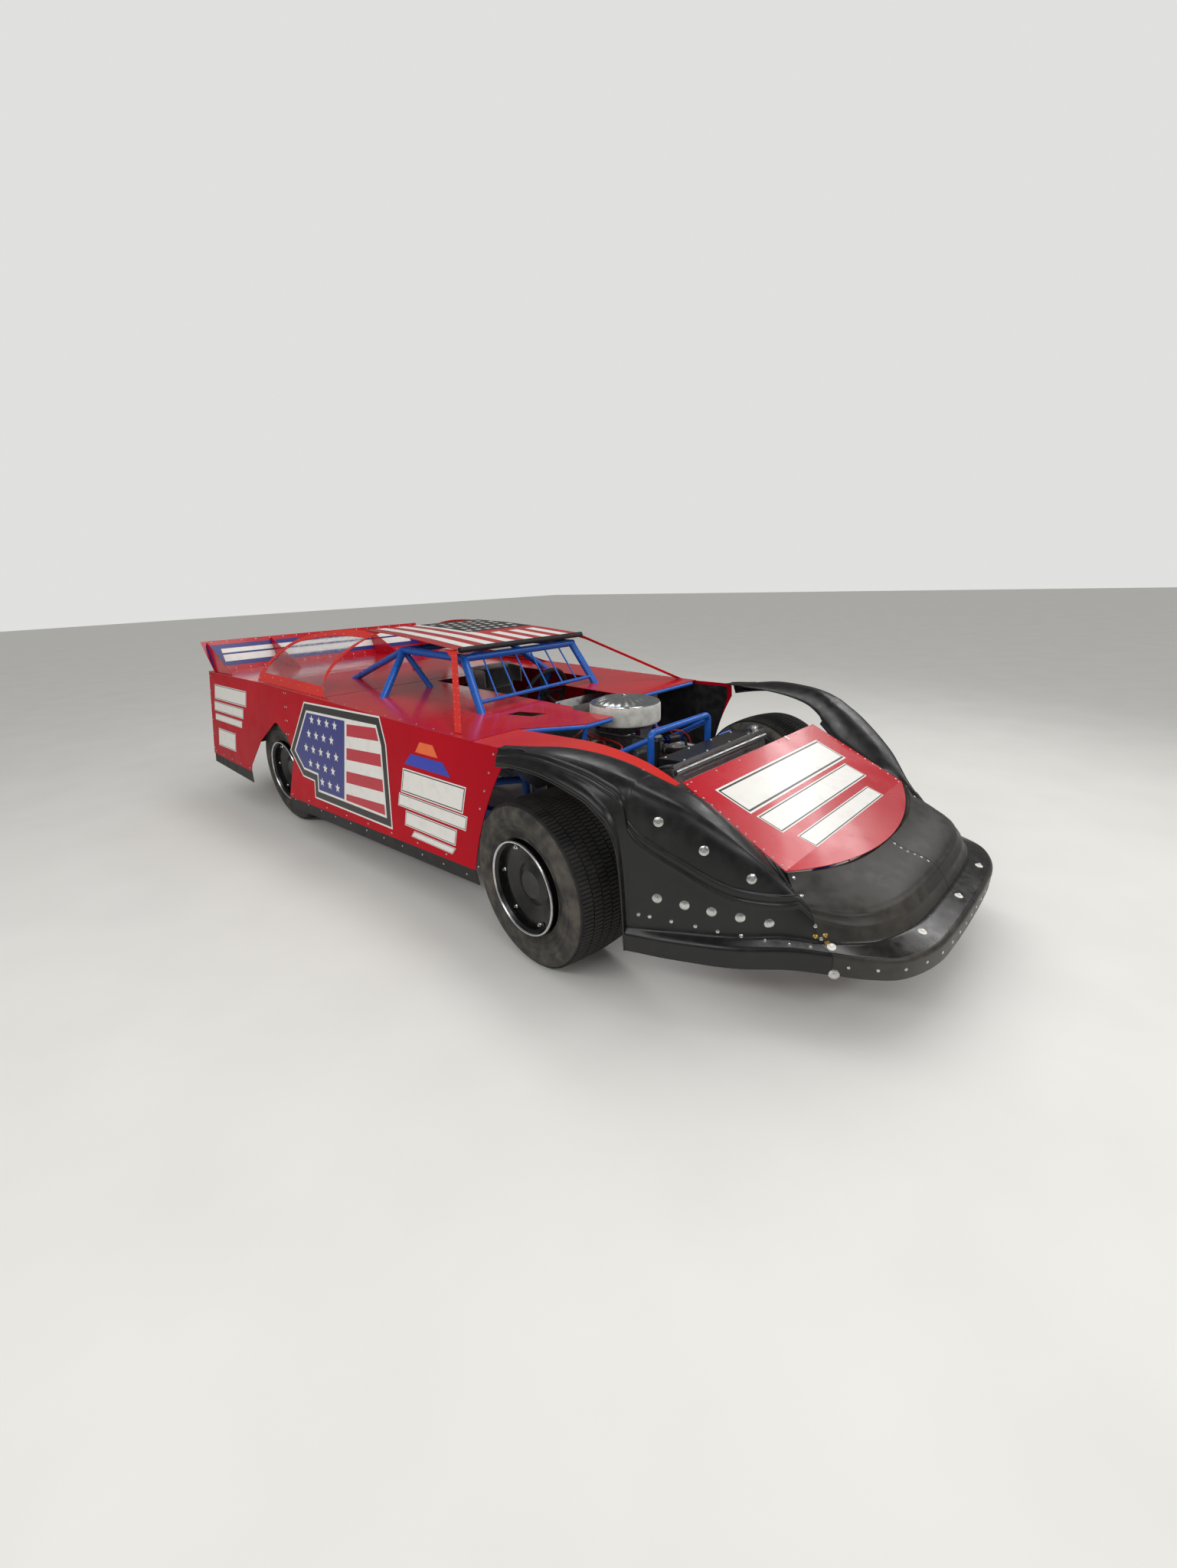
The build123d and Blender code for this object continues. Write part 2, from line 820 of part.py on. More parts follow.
def knuckle_shape():
    # Left knuckle at straight ahead: spindle, upright, steering arm and caliper.
    low_z = kingpin_low[1]
    high_z = kingpin_high[1]
    y = front_axle_y
    mid_x = on_kingpin(axle_z)[0]
    shaft = front_place() * spindle(rim_width + 44)
    upright = rod(on_kingpin(low_z + 20), on_kingpin(high_z - 20), 20)
    plate = block((30, 96, 130), (mid_x, y, axle_z))
    eye_x, eye_y, eye_z = steering_eye
    arm_z = eye_z - 18
    arm = tube([(mid_x, y - 20, arm_z), (mid_x - 6, y - 90, arm_z), (eye_x, eye_y, arm_z)], 14, 40)
    eye = rod(along_kingpin(steering_eye, -34), steering_eye, 18)
    return joined([shaft, upright, plate, arm, eye, caliper_shape(mid_x)])


def caliper_shape(stay_x):
    disc_x = front_rim_x - disc_face - 0.5 * disc_thickness
    y = front_axle_y
    body = block((74, 62, 120), (disc_x, y + disc_radius - 18, axle_z))
    slot = rod((disc_x - 18, y, axle_z), (disc_x + 18, y, axle_z), disc_radius + 6)
    stay = block((50, 95, 40), (stay_x + 26, y + 78, axle_z))
    return joined([body - slot, stay])


def save_front_corner():
    # The car's left corner is made first. The right one is its mirror, steered the same way.
    shapes = {
        "knuckle": knuckle_shape(),
        "wheel": front_place() * apart([rim_shape(), hub_shape(spindle_radius + run_gap)]),
        "tyre": Pos(front_rim_x - 0.5 * rim_width, front_axle_y, axle_z) * tyre_shape(),
    }
    for name, shape in shapes.items():
        save(f"front_left_{name}", turned_about_kingpin(shape, steer_rest))
        save(f"front_right_{name}", mirrored(turned_about_kingpin(shape, -steer_rest)))


def save_rear_corner():
    shapes = {
        "wheel": rear_place() * apart([rim_shape(), hub_shape(axle_tube_radius + run_gap)]),
        "tyre": Pos(rear_rim_x - 0.5 * rim_width, rear_axle_y, axle_z) * tyre_shape(),
    }
    for name, shape in shapes.items():
        save(f"rear_left_{name}", shape)
        save(f"rear_right_{name}", mirrored(shape))


# Suspension and steering


def front_arms():
    low_x, low_z = kingpin_low
    high_x, high_z = kingpin_high
    y = front_axle_y
    joint_radius = 24
    low_bush = (rail_x + 0.5 * rail_width + 14, rail_z)
    high_bush = (clip_x + cage_radius + 12, clip_z - 40)
    lower = [rod(on_kingpin(low_z - 24), on_kingpin(low_z + 20 - seat_gap), joint_radius)]
    upper = [rod(on_kingpin(high_z - 20 + seat_gap), on_kingpin(high_z + 24), joint_radius)]
    for side in (-1, 1):
        x, z = low_bush
        lower.append(rod((low_x - 6, y + side * 6, low_z), (x, y + side * 150, z), 15))
        lower.append(rod((x, y + side * 125, z), (x, y + side * 175, z), 14 - seat_gap))
        x, z = high_bush
        upper.append(rod((high_x, y + side * 6, high_z + 5), (x, y + side * 105, z), 12))
        upper.append(rod((x, y + side * 80, z), (x, y + side * 130, z), 12 - seat_gap))
    bar = [(shock_bar_x, y + side * 70, shock_bar_z) for side in (-1, 1)]
    lower.append(rod(*bar, shock_bar_radius))
    return apart([joined(lower), joined(upper)])


def coil_over(start, end):
    # A damper in its coil spring, with an eye at each end.
    run = Vector(*end) - Vector(*start)
    length = run.length
    wire = 40
    first = 90
    last = length - 60
    pitch = (last - first) / coil_turns
    ring = [(0, 0), (shock_end_radius, 0), (shock_end_radius, 30)]
    ring += [(26, 34), (26, first - 8), (wire, first - 8)]
    for i in range(coil_turns):
        ring += [(wire, first + i * pitch), (wire - 6, first + (i + 0.5) * pitch)]
    ring += [(wire, last), (wire, last + 8), (12, last + 12), (12, length), (0, length)]
    return Plane(origin=start, z_dir=run) * turned_upright(ring)


def coil_overs():
    front = coil_over(front_shock_foot, front_shock_head)
    rear = coil_over(rear_shock_foot, rear_shock_head)
    return both_sides(front, rear)


def steering_rack():
    # Rack, pinion housing and tie rods. Each rod end sits square on the arm's eye, along the kingpin.
    y = front_axle_y - steering_arm
    rack = rod((-230, y, rack_z), (230, y, rack_z), 26)
    pinion = block((80, 60, 80), (170, y, rack_z + 20))
    rods = []
    for side, angle in [(1, steer_rest), (-1, -steer_rest)]:
        eye = turned_eye(angle)
        foot = along_kingpin(eye, seat_gap)
        head = along_kingpin(eye, rod_end_height)
        middle = between(foot, head, 0.62)
        ends = [(side * p[0], p[1], p[2]) for p in (foot, head, middle)]
        rods.append(rod(ends[0], ends[1], 17))
        rods.append(rod((side * 225, y, rack_z), ends[2], 10))
    return joined([rack, pinion, *rods])


def rear_axle():
    end_x = rear_rim_x - hub_face - 12
    inner_x = rear_rim_inner_x - 40
    centre = turned([(-120, 0), (-120, 70), (-60, 130), (60, 130), (120, 70), (120, 0)])
    gears = block((130, 90, 190), (0, 150, -10))
    nose = rod((0, -100, 0), (0, -pinion_reach, 0), 52)
    pieces = [centre, gears, nose, rod((-end_x, 0, 0), (end_x, 0, 0), axle_tube_radius)]
    foot_y = rear_shock_foot[1] - rear_axle_y
    foot_z = rear_shock_foot[2] - axle_z
    for side in (-1, 1):
        pieces.append(rod((side * (inner_x - 110), 0, 0), (side * (inner_x - 30), 0, 0), 62))
        pieces.append(block((24, 60, 250), (side * (inner_x - 70), -50, 0)))
        pieces.append(block((30, 125, 24), (side * link_x, foot_y - 47, foot_z - 14.5)))
    for turn in range(0, 360, 45):
        web = block((70, 8, 60), (0, 0, 118))
        pieces.append(Rot(turn, 0, 0) * web)
    return Pos(0, rear_axle_y, axle_z) * joined(pieces)


def rear_links():
    # Upper and lower trailing links, between the axle's brackets and the posts on the rails.
    start_y = rear_axle_y - 80 - 3.6
    pieces = []
    for side in (-1, 1):
        for low, high in [(axle_z + 100, 540), (axle_z - 100, 320)]:
            pieces.append(rod((side * link_x, start_y, low), (side * rail_x, link_post_y + 19, high), 15))
    return pieces


def gearbox():
    bell = Plane(origin=(0, engine_rear_y + seat_gap, crank_z), z_dir=(0, 1, 0)) * Cone(
        175, 110, bell_length, align=(Align.CENTER, Align.CENTER, Align.MIN)
    )
    case = block((190, case_length, 200), (0, engine_rear_y + bell_length + 0.5 * case_length, crank_z))
    case = chamfer(case.edges().filter_by(Axis.Y), 26)
    y = engine_rear_y + bell_length + case_length - 30
    lever = tube([(-40, y, crank_z + 80), (-40, y, crank_z + 240), (-60, y + 45, crank_z + 300)], 8, 30)
    knob = rod((-60, y + 45, crank_z + 296), (-66, y + 58, crank_z + 318), 20)
    return joined([bell, case, lever, knob])


def driveshaft():
    start = (0, engine_rear_y + bell_length + case_length + seat_gap, crank_z)
    end = (0, rear_axle_y - pinion_reach - seat_gap, axle_z)
    return rod(start, end, 38)


# Chassis


def frame_side(side, extra):
    # Rail, kick-up over the axle, nose horn and front clip of one side, grown by extra.
    x = side * rail_x
    clip = side * clip_x
    front = front_axle_y
    rear = rear_axle_y
    rail_run = rail_rear_y - rail_front_y
    rail_mid = 0.5 * (rail_rear_y + rail_front_y)
    kick = [(x, rear - 220, rail_z), (x, rear - 160, rear_top_z), (x, tail_y - 230, rear_top_z - 10)]
    horn = [(x, front - 345, rail_z), (x, front - 455, 400), (x, front - 855, 400)]
    clip_line = [
        (x, front + 555, rail_z),
        (x, front + 425, clip_z + 20),
        (clip, front - 135, clip_z),
        (clip, front - 205, rail_z),
    ]
    return [
        block((rail_width + 2 * extra, rail_run, rail_height + 2 * extra), (x, rail_mid, rail_z)),
        tube(kick, cage_radius + extra, 90),
        tube(horn, cage_radius + extra, 60),
        tube(clip_line, cage_radius + extra, 70),
    ]


def brackets(side):
    # Link post, damper brackets and radiator stay of one side.
    x = side * rail_x
    pieces = [rod((x, link_post_y, rail_z), (x, link_post_y, rear_top_z - 10), 16)]
    head_x, head_y, head_z = front_shock_head
    top_z = head_z + 9 + 3.2
    foot_x = side * clip_x
    arm = [(foot_x, head_y, clip_z), (foot_x, head_y, top_z), (side * (head_x + 14), head_y, top_z)]
    pieces.append(tube(arm, 9, 20))
    head_x, head_y, head_z = rear_shock_head
    top_z = head_z + 10 + 2
    arm = [(x, head_y, rear_top_z), (x, head_y, top_z), (side * (head_x + 8), head_y, top_z)]
    pieces.append(tube(arm, 10, 20))
    stay_y = rail_front_y + 35
    pieces.append(rod((side * 381, stay_y, rail_z), (side * 381, stay_y, 343.3), 12))
    return pieces


def fuel_hangers():
    low = fuel_low_z - 16 - seat_gap
    pieces = []
    for y in (fuel_y - 140, fuel_y + 140):
        ends = [(-rail_x, y, rear_top_z - 10), (rail_x, y, rear_top_z - 10)]
        pieces.append(tube([ends[0], (-rail_x, y, low), (rail_x, y, low), ends[1]], 16, 60))
    return pieces


def chassis_frame():
    pieces = frame_side(-1, 0) + frame_side(1, 0) + front_hoop(0)
    pieces += brackets(-1) + brackets(1) + fuel_hangers()
    for y in (rail_front_y + 40, -440, 300, rail_rear_y - 60):
        pieces.append(rod((-rail_x, y, rail_z), (rail_x, y, rail_z), 20))
    rear_y = tail_y - 230
    pieces.append(rod((-rail_x, rear_y, rear_top_z - 10), (rail_x, rear_y, rear_top_z - 10), cage_radius))
    horn_y = front_axle_y - 855
    pieces.append(rod((-rail_x, horn_y, 400), (rail_x, horn_y, 400), cage_radius))
    return joined(pieces)


def front_hoop(extra):
    # The hoop over the engine and its braces, grown by extra.
    y = front_axle_y
    top = 850
    foot = 640
    line = [(-250, y, foot - 10), (-250, y, top), (250, y, top), (250, y, foot - 10)]
    pieces = [tube(line, 17 + extra, 30)]
    for side in (-1, 1):
        pieces.append(rod((side * 250, y, foot), (side * (clip_x + 5), y + 20, clip_z + 6), 14 + extra))
        pieces.append(rod((side * 250, y, top - 30), (side * 399, y + 416, clip_z + 8), 14 + extra))
    return pieces


# Upper roll cage. Columns: start x, y, z, end x, y, z, radius. The first table is for both sides.
halo_front = (430, -90, 1156)
halo_rear = (405, 560, 1168)
leg_root = (690, 400, 905)
brace_root = (440, rear_axle_y - 175, 935)
left_post_root = (462, -300, 855)
right_post_root = (-572, -400, 880)
screen_foot = (rail_x, -500, 520)
dash_bar_y = -492
dash_bar_z = (
    wheel_centre[2]
    + (dash_bar_y - wheel_centre[1]) * tan(radians(column_lean))
    - (column_radius + 16 + seat_gap) / cos(radians(column_lean))
)
cage_pairs = [
    (halo_front, halo_rear, 22),
    (halo_rear, leg_root, 22),
    (leg_root, (rail_x, 480, rail_z), 22),
    (halo_rear, brace_root, 20),
    (brace_root, (rail_x, rear_axle_y + 115, rear_top_z + 5), 20),
    (screen_foot, (640, -300, 520), 20),
    ((640, -300, 520), (660, 300, 550), 20),
    ((660, 300, 550), (541, 441, 560), 20),
    (screen_foot, (rail_x, -500, rail_z), 22),
]
cage_singles = [
    ((-446, -90, 1156), (446, -90, 1156), 21),
    ((-420, 560, 1168), (420, 560, 1168), 21),
    ((-405, 560, 1168), (-285, 470, 905), 18),
    ((-285, 470, 905), (-rail_x, 500, rail_z), 18),
    (halo_front, left_post_root, 22),
    (left_post_root, screen_foot, 22),
    ((-430, -90, 1156), right_post_root, 22),
    (right_post_root, (-rail_x, -500, 520), 22),
    ((-410, dash_bar_y, dash_bar_z), (410, dash_bar_y, dash_bar_z), 16),
]

# Blue tubes under the front edges of the deck, with a strut down to the frame on each side
edge_tube_radius = 11
edge_tubes = [
    ((-650, deck_front_y + 193, deck_front_z - 14.3), (-400, deck_front_y - 1, deck_front_z - 14.3)),
    ((-405, deck_front_y - 1, deck_front_z - 14.3), (-215, deck_front_y - 1, deck_front_z - 14.3)),
    ((285, left_edge_y, deck_front_z - 10.5), (880, left_edge_y + 2, deck_front_z - 10.5)),
    ((396, left_edge_y, deck_front_z - 10.5), (396, front_axle_y + 415, clip_z + 22)),
    ((-396, deck_front_y - 1, deck_front_z - 14.3), (-396, front_axle_y + 355, clip_z + 18)),
]


def cage_rods(extra):
    pieces = []
    for start, end, radius in cage_pairs:
        one = rod(start, end, radius + extra)
        pieces += [one, mirrored(one)]
    for start, end, radius in cage_singles:
        pieces.append(rod(start, end, radius + extra))
    return joined(pieces)


def roll_cage():
    edge = [rod(start, end, edge_tube_radius) for start, end in edge_tubes]
    seats = joined(frame_side(-1, seat_gap) + frame_side(1, seat_gap) + front_hoop(seat_gap))
    cage = joined([cage_rods(0), *rock_screen(), *edge]) - seats
    # What pokes out past the rails it stands on is left out.
    return apart([s for s in cage.solids() if s.volume > 20000])


def rock_screen():
    low_right = between((-430, -90, 1156), right_post_root, 0.754)
    low_left = between(halo_front, left_post_root, 0.691)
    pieces = [rod(low_right, low_left, 11)]
    for i in range(6):
        share = 0.15 + 0.14 * i
        foot = between(low_right, low_left, share)
        head = between((-430, -90, 1156), halo_front, share)
        pieces.append(rod(foot, head, rod_radius))
    return pieces


def firewall():
    y = cockpit_front_y + 10
    high = under_deck(y)
    points = [(-640, y, high), (-640, y, 700), (-375, y, 440), (375, y, 440), (640, y, 700), (640, y, high)]
    wall = flat(points, (0, panel_t, 0))
    bell = rod((0, y - 20, crank_z), (0, y + 20, crank_z), 172)
    rails = [block((70, 60, 200), (side * rail_x, y - 10, 400)) for side in (-1, 1)]
    return wall - [bell, cage_rods(hole_gap), *rails]


def cockpit_wall():
    front = cockpit_front_y + 20
    rear = cockpit_rear_y
    x = cockpit_right_x - panel_t
    points = [(x, front, 560), (x, rear, 300), (x, rear, under_deck(rear)), (x, front, under_deck(front))]
    return flat(points, (panel_t, 0, 0)) - cage_rods(hole_gap)


def floor_pan():
    return block((520, 1160, panel_t), (360, 20, floor_top_z - 0.5 * panel_t)) - cage_rods(hole_gap)


def seat():
    # Bucket seat with a high back and head wings: a side profile pushed across and hollowed.
    low = floor_top_z + seat_gap
    outline = [(0, low), (477, low), (549, 860), (496, 1010), (460, 1010), (442, 560), (352, 470), (28, 500)]
    hollow_line = [(-27, 330), (297, 320), (405, 350), (450, 860), (450, 1100), (-27, 1100)]
    shell = flat([(seat_x - seat_half, seat_y + y, z) for y, z in outline], (2 * seat_half, 0, 0))
    room = seat_half - seat_wall
    hollow = flat([(seat_x - room, seat_y + y, z) for y, z in hollow_line], (2 * room, 0, 0))
    wing_line = [(350, 880), (500, 880), (488, 1000), (350, 985)]
    wings = []
    for side in (-1, 1):
        x = seat_x + side * (seat_half - 0.5 * seat_wall) - 6
        wings.append(flat([(x, seat_y + y, z) for y, z in wing_line], (12, 0, 0)))
    return joined([shell - hollow, *wings])


def wheel_plane():
    lean = radians(column_lean)
    return Plane(origin=wheel_centre, z_dir=(0, cos(lean), sin(lean)))


def steering_wheel():
    ring = Torus(175, 13)
    hub = Cylinder(32, 24)
    spokes = [Rot(0, 0, a) * block((170, 26, 6), (88, 0, 0)) for a in (90, 210, 330)]
    return wheel_plane() * joined([ring, hub, *spokes])


def steering_column():
    lean = radians(column_lean)
    x, y, z = wheel_centre
    ends = [(x, y - reach * cos(lean), z - reach * sin(lean)) for reach in (12 + seat_gap, 560)]
    return rod(*ends, column_radius)


# Engine


def bank_point(side, y, across, up):
    turn = radians(bank_angle)
    x = side * (across * cos(turn) + up * sin(turn))
    return (x, y, crank_z - across * sin(turn) + up * cos(turn))


def bank_place(side):
    mid_y = 0.5 * (engine_front_y + engine_rear_y)
    return Pos(0, mid_y, crank_z) * Rot(0, side * bank_angle, 0)


def engine_block():
    mid_y = 0.5 * (engine_front_y + engine_rear_y)
    crank_case = block((260, engine_length, 150), (0, mid_y, crank_z))
    pan = block((230, engine_length - 60, 80), (0, mid_y, crank_z - 115))
    banks = []
    for side in (-1, 1):
        banks.append(bank_place(side) * block((190, engine_length - 30, bore_deck), (0, 0, 0.5 * bore_deck)))
    return joined([crank_case, pan, *banks])


def front_drive():
    # Crank and water pump bodies, each with its grooved pulley.
    y = engine_front_y
    front = y - 70
    pieces = []
    for x, z, radius, back in [(0, crank_z, 78, y - seat_gap), (0, crank_z + 190, 60, y + 15 - seat_gap)]:
        body = rod((x, front + 30, z), (x, back, z), radius)
        wheel = grooved_pulley(radius + 10)
        pieces.append(joined([body, Pos(x, front + 15, z) * wheel]))
    return pieces


def alternator():
    # Seated on the front of the left bank, with its pulley in the belt's plane.
    front = engine_front_y - 70
    x, z = (215, crank_z + 128)
    body = rod((x, front + 30, z), (x, engine_front_y + 15 - seat_gap, z), 58)
    return joined([body, Pos(x, front + 15, z) * grooved_pulley(36)])


def grooved_pulley(radius):
    rings = [(-16, 0), (-16, radius)]
    for i in range(3):
        rings += [(-12 + i * 10, radius), (-8 + i * 10, radius - 9), (-4 + i * 10, radius)]
    rings += [(18, radius), (18, 0)]
    return Rot(0, 0, 90) * turned(rings)


def cylinder_head(side):
    # Head with its ribbed rocker cover and filler cap.
    length = engine_length - 40
    start = bore_deck + seat_gap
    head = block((180, length, head_height), (0, 0, start + 0.5 * head_height))
    cover = block((120, length - 30, cover_height), (0, 0, start + head_height + 0.5 * cover_height))
    cover = fillet(cover.edges().filter_by(Axis.Y).group_by(Axis.Z)[-1], 22)
    top = start + head_height + cover_height
    ribs = [block((52, 8, 8), (0, -180 + 45 * i, top)) for i in range(9)]
    cap = Pos(0, 110, top - 4) * Cylinder(24, 44, align=(Align.CENTER, Align.CENTER, Align.MIN))
    return bank_place(side) * joined([head, cover, *ribs, cap])


def intake():
    # Manifold in the valley, riser, carburettor with its bowls, and the distributor behind it.
    y = cleaner_y
    low_x, _, low_z = bank_point(1, 0, -90 - seat_gap, bore_deck + 6)
    high_x, _, high_z = bank_point(1, 0, -90 - seat_gap, bore_deck + 90)
    top_z = 692
    flange_z = 745
    right = [(low_x, low_z), (high_x, high_z), (130, top_z)]
    outline = right + [(-x, z) for x, z in reversed(right)]
    manifold = flat([(x, y - 190, z) for x, z in outline], (0, 380, 0))
    runners = [block((360, 34, 30), (0, y + s, high_z + 26)) for s in (-150, -60, 60, 150)]
    riser = block((130, 200, flange_z - top_z + 14), (0, y, 0.5 * (flange_z + top_z) - 7))
    carb_top = cleaner_z - seat_gap
    carb = block((120, 210, carb_top - flange_z), (0, y, 0.5 * (flange_z + carb_top)))
    bowls = [block((100, 40, 50), (0, y + s * 120, 780)) for s in (-1, 1)]
    shaft = rod((0, y + 160, top_z - 30), (0, y + 160, top_z + 40), 26)
    cap = rod((0, y + 160, top_z + 40), (0, y + 160, top_z + 92), 44)
    return joined([manifold, *runners, riser, carb, *bowls, shaft, cap])


def air_cleaner():
    r = cleaner_radius
    top = cleaner_height
    lid = [(r - 10, top), (r - 16, top + 2), (r - 60, top + 16), (40, top + 24), (0, top + 26)]
    wing_nut = [(0, top + 26), (14, top + 26), (14, top + 40), (0, top + 40)]
    body = turned_upright([(0, 0), (r - 8, 0), (r, 8), (r, top - 6), *lid])
    return Pos(0, cleaner_y, cleaner_z) * joined([body, turned_upright(wing_nut)])


def headers():
    # Four pipes a side run from the exhaust ports into a collector.
    pieces = []
    end_y = engine_rear_y + 15
    for side in (-1, 1):
        for i in range(4):
            y = engine_front_y + 85 + i * exhaust_pitch
            port = bank_point(side, y, 90 + seat_gap, bore_deck + 50)
            bend = bank_point(side, y, 150, bore_deck + 50)
            pieces.append(tube([port, bend, (side * 316, end_y, 350)], 20, 30))
        pieces.append(rod((side * 316, end_y - 40, 356), (side * 316, end_y + 55, 340), 42))
    return joined(pieces)


def radiator():
    # Core with cooling slots between two tanks, a top shroud, a filler and the bar in front.
    core_half = 350
    core_high = 400
    core = block((2 * core_half + 2, 46, core_high), (0, 0, -0.5 * core_high))
    slots = [block((660, 8, 9), (0, -23, -40 - 24 * i)) for i in range(15)]
    tanks = [block((60, 56, 420), (side * (core_half + 31), 0, -200)) for side in (-1, 1)]
    shroud = block((2 * core_half - 60, 84, 6), (0, 12, 2.5))
    filler = rod((core_half + 31, 0, 8), (core_half + 31, 0, 34), 24)
    bar = rod((-405, -40.3, -14), (405, -40.3, -14), 12)
    shape = joined([core - slots, *tanks, shroud, filler, bar])
    return Pos(0, radiator_y, radiator_z) * Rot(-radiator_lean, 0, 0) * shape


def radiator_hoses():
    # Moulded hoses from the radiator's tanks to the manifold's front face and to the block's.
    lean = radians(radiator_lean)
    routes = []
    for side, down in [(1, 30), (-1, 380)]:
        y = 28 + seat_gap
        start = (
            side * 381,
            radiator_y + y * cos(lean) - down * sin(lean),
            radiator_z - y * sin(lean) - down * cos(lean),
        )
        routes.append([start, (start[0], start[1] + 50 * cos(lean), start[2] - 50 * sin(lean))])
    top_z = crank_z + 296
    routes[0] += [(150, engine_front_y - 85, top_z + 32), (90, engine_front_y + 65, top_z)]
    routes[0] += [(90, cleaner_y - 190 - seat_gap, top_z)]
    routes[1] += [(-200, engine_front_y - 185, crank_z + 58), (-103, engine_front_y - 75, crank_z + 50)]
    routes[1] += [(-103, engine_front_y - seat_gap, crank_z + 50)]
    return apart([tube(points, 18, 42) for points in routes])


def fuel_cell():
    width, depth, height = fuel_size
    body = block(fuel_size, (0, fuel_y, fuel_low_z + 0.5 * height))
    body = chamfer(body.edges().filter_by(Axis.Z), 30)
    top = fuel_low_z + height
    filler = rod((180, fuel_y, top - 5), (180, fuel_y, top + 30), 50)
    strap_size = (width + 8, 40, height + 4)
    straps = [block(strap_size, (0, fuel_y + s, top - 0.5 * height + 2)) for s in (-90, 90)]
    return joined([body, filler, *straps])


def main():
    os.makedirs("parts", exist_ok=True)
    save("door_panels", both_sides(door()))
    save("quarter_panels", both_sides(quarter()))
    save("side_skirts", both_sides(rocker_skirt(), rear_skirt()))
    save("deck_panel", deck())
    save("right_hood_rail", hood_rail())
    save("hood_nosepiece", hood())
    save("roof_panel", roof())
    save("roof_front_lip", roof_lip())
    save("window_posts", both_sides(window_post()))
    save("sail_panels", both_sides(sail_panel()))
    save("sail_windows", both_sides(sail_window()))
    save("rear_spoiler", apart([spoiler(), *spoiler_braces()]))
    save("tail_panel", tail_panel())
    save("rear_bumper_cover", rear_bumper_cover())
    save("nose_covers", both_sides(nose_half()))
    save_pair("front_fender", fender())
    save_front_corner()
    save_rear_corner()
    save("suspension_arms", apart([front_arms(), mirrored(front_arms()), *rear_links()]))
    save("coil_overs", coil_overs())
    save("steering_gear", apart([steering_rack(), steering_column()]))
    save("rear_axle", rear_axle())
    save("gearbox", gearbox())
    save("driveshaft", driveshaft())
    save("chassis_frame", chassis_frame())
    save("roll_cage", roll_cage())
    save("cockpit_sheets", apart([firewall(), cockpit_wall(), floor_pan()]))
    save("seat", seat())
    save("steering_wheel", steering_wheel())
    save("engine_block", apart([engine_block(), *front_drive(), alternator()]))
    save("cylinder_heads", both_sides(cylinder_head(1)))
    save("intake_manifold", intake())
    save("air_cleaner", air_cleaner())
    save("exhaust_headers", headers())
    save("radiator", radiator())
    save("radiator_hoses", radiator_hoses())
    save("fuel_cell", fuel_cell())


main()
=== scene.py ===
import json
import math
from functools import partial

import bmesh
import bpy
from mathutils import Matrix, Vector
from mathutils.bvhtree import BVHTree
from mathutils.geometry import convex_hull_2d


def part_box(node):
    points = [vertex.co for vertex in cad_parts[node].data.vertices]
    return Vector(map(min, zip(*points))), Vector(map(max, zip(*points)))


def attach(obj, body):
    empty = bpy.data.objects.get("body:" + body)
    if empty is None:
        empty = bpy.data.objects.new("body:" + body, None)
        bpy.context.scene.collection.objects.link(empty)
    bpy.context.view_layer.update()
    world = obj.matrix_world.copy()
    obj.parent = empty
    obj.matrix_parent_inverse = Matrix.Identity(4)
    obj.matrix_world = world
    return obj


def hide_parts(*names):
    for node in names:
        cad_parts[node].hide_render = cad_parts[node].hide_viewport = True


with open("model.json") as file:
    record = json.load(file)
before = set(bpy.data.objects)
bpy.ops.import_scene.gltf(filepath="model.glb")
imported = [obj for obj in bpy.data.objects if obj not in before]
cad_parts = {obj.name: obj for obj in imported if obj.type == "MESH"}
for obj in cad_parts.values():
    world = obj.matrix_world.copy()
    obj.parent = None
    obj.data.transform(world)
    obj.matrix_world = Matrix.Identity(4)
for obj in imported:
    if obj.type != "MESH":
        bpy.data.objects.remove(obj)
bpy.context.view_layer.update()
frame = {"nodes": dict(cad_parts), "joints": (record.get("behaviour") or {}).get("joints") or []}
nodes = frame["nodes"]
joints = {j["name"]: j for j in frame["joints"]}
scene = bpy.context.scene
millimetre = 0.001

# Camera and light

photoCamera = {
    "place": (-2.5465, -2.976, 1.5664),
    "yaw": 0.8197,
    "pitch": -0.3221,
    "roll": -0.0385,
    "focalPixels": 814.29,
    "longSidePixels": 2048,
    "sensorWidth": 36,
}


def cameraTurn():
    yaw, pitch, roll = (photoCamera[k] for k in ("yaw", "pitch", "roll"))
    forward = Vector((math.sin(yaw) * math.cos(pitch), math.cos(yaw) * math.cos(pitch), math.sin(pitch)))
    level = Vector((math.cos(yaw), -math.sin(yaw), 0))
    upright = level.cross(forward)
    right = math.cos(roll) * level + math.sin(roll) * upright
    up = math.cos(roll) * upright - math.sin(roll) * level
    return Matrix((right, up, -forward)).transposed()


def makeCamera():
    data = bpy.data.cameras.new("photoCamera")
    data.sensor_width = photoCamera["sensorWidth"]
    data.lens = photoCamera["focalPixels"] / photoCamera["longSidePixels"] * photoCamera["sensorWidth"]
    data.clip_end = 200
    camera = bpy.data.objects.new("photoCamera", data)
    scene.collection.objects.link(camera)
    camera.matrix_world = Matrix.Translation(photoCamera["place"]) @ cameraTurn().to_4x4()
    scene.camera = camera


def toLinear(hexText):
    parts = [int(hexText[i:i + 2], 16) / 255 for i in (1, 3, 5)]
    return tuple(p / 12.92 if p <= 0.04045 else ((p + 0.055) / 1.055) ** 2.4 for p in parts) + (1.0,)


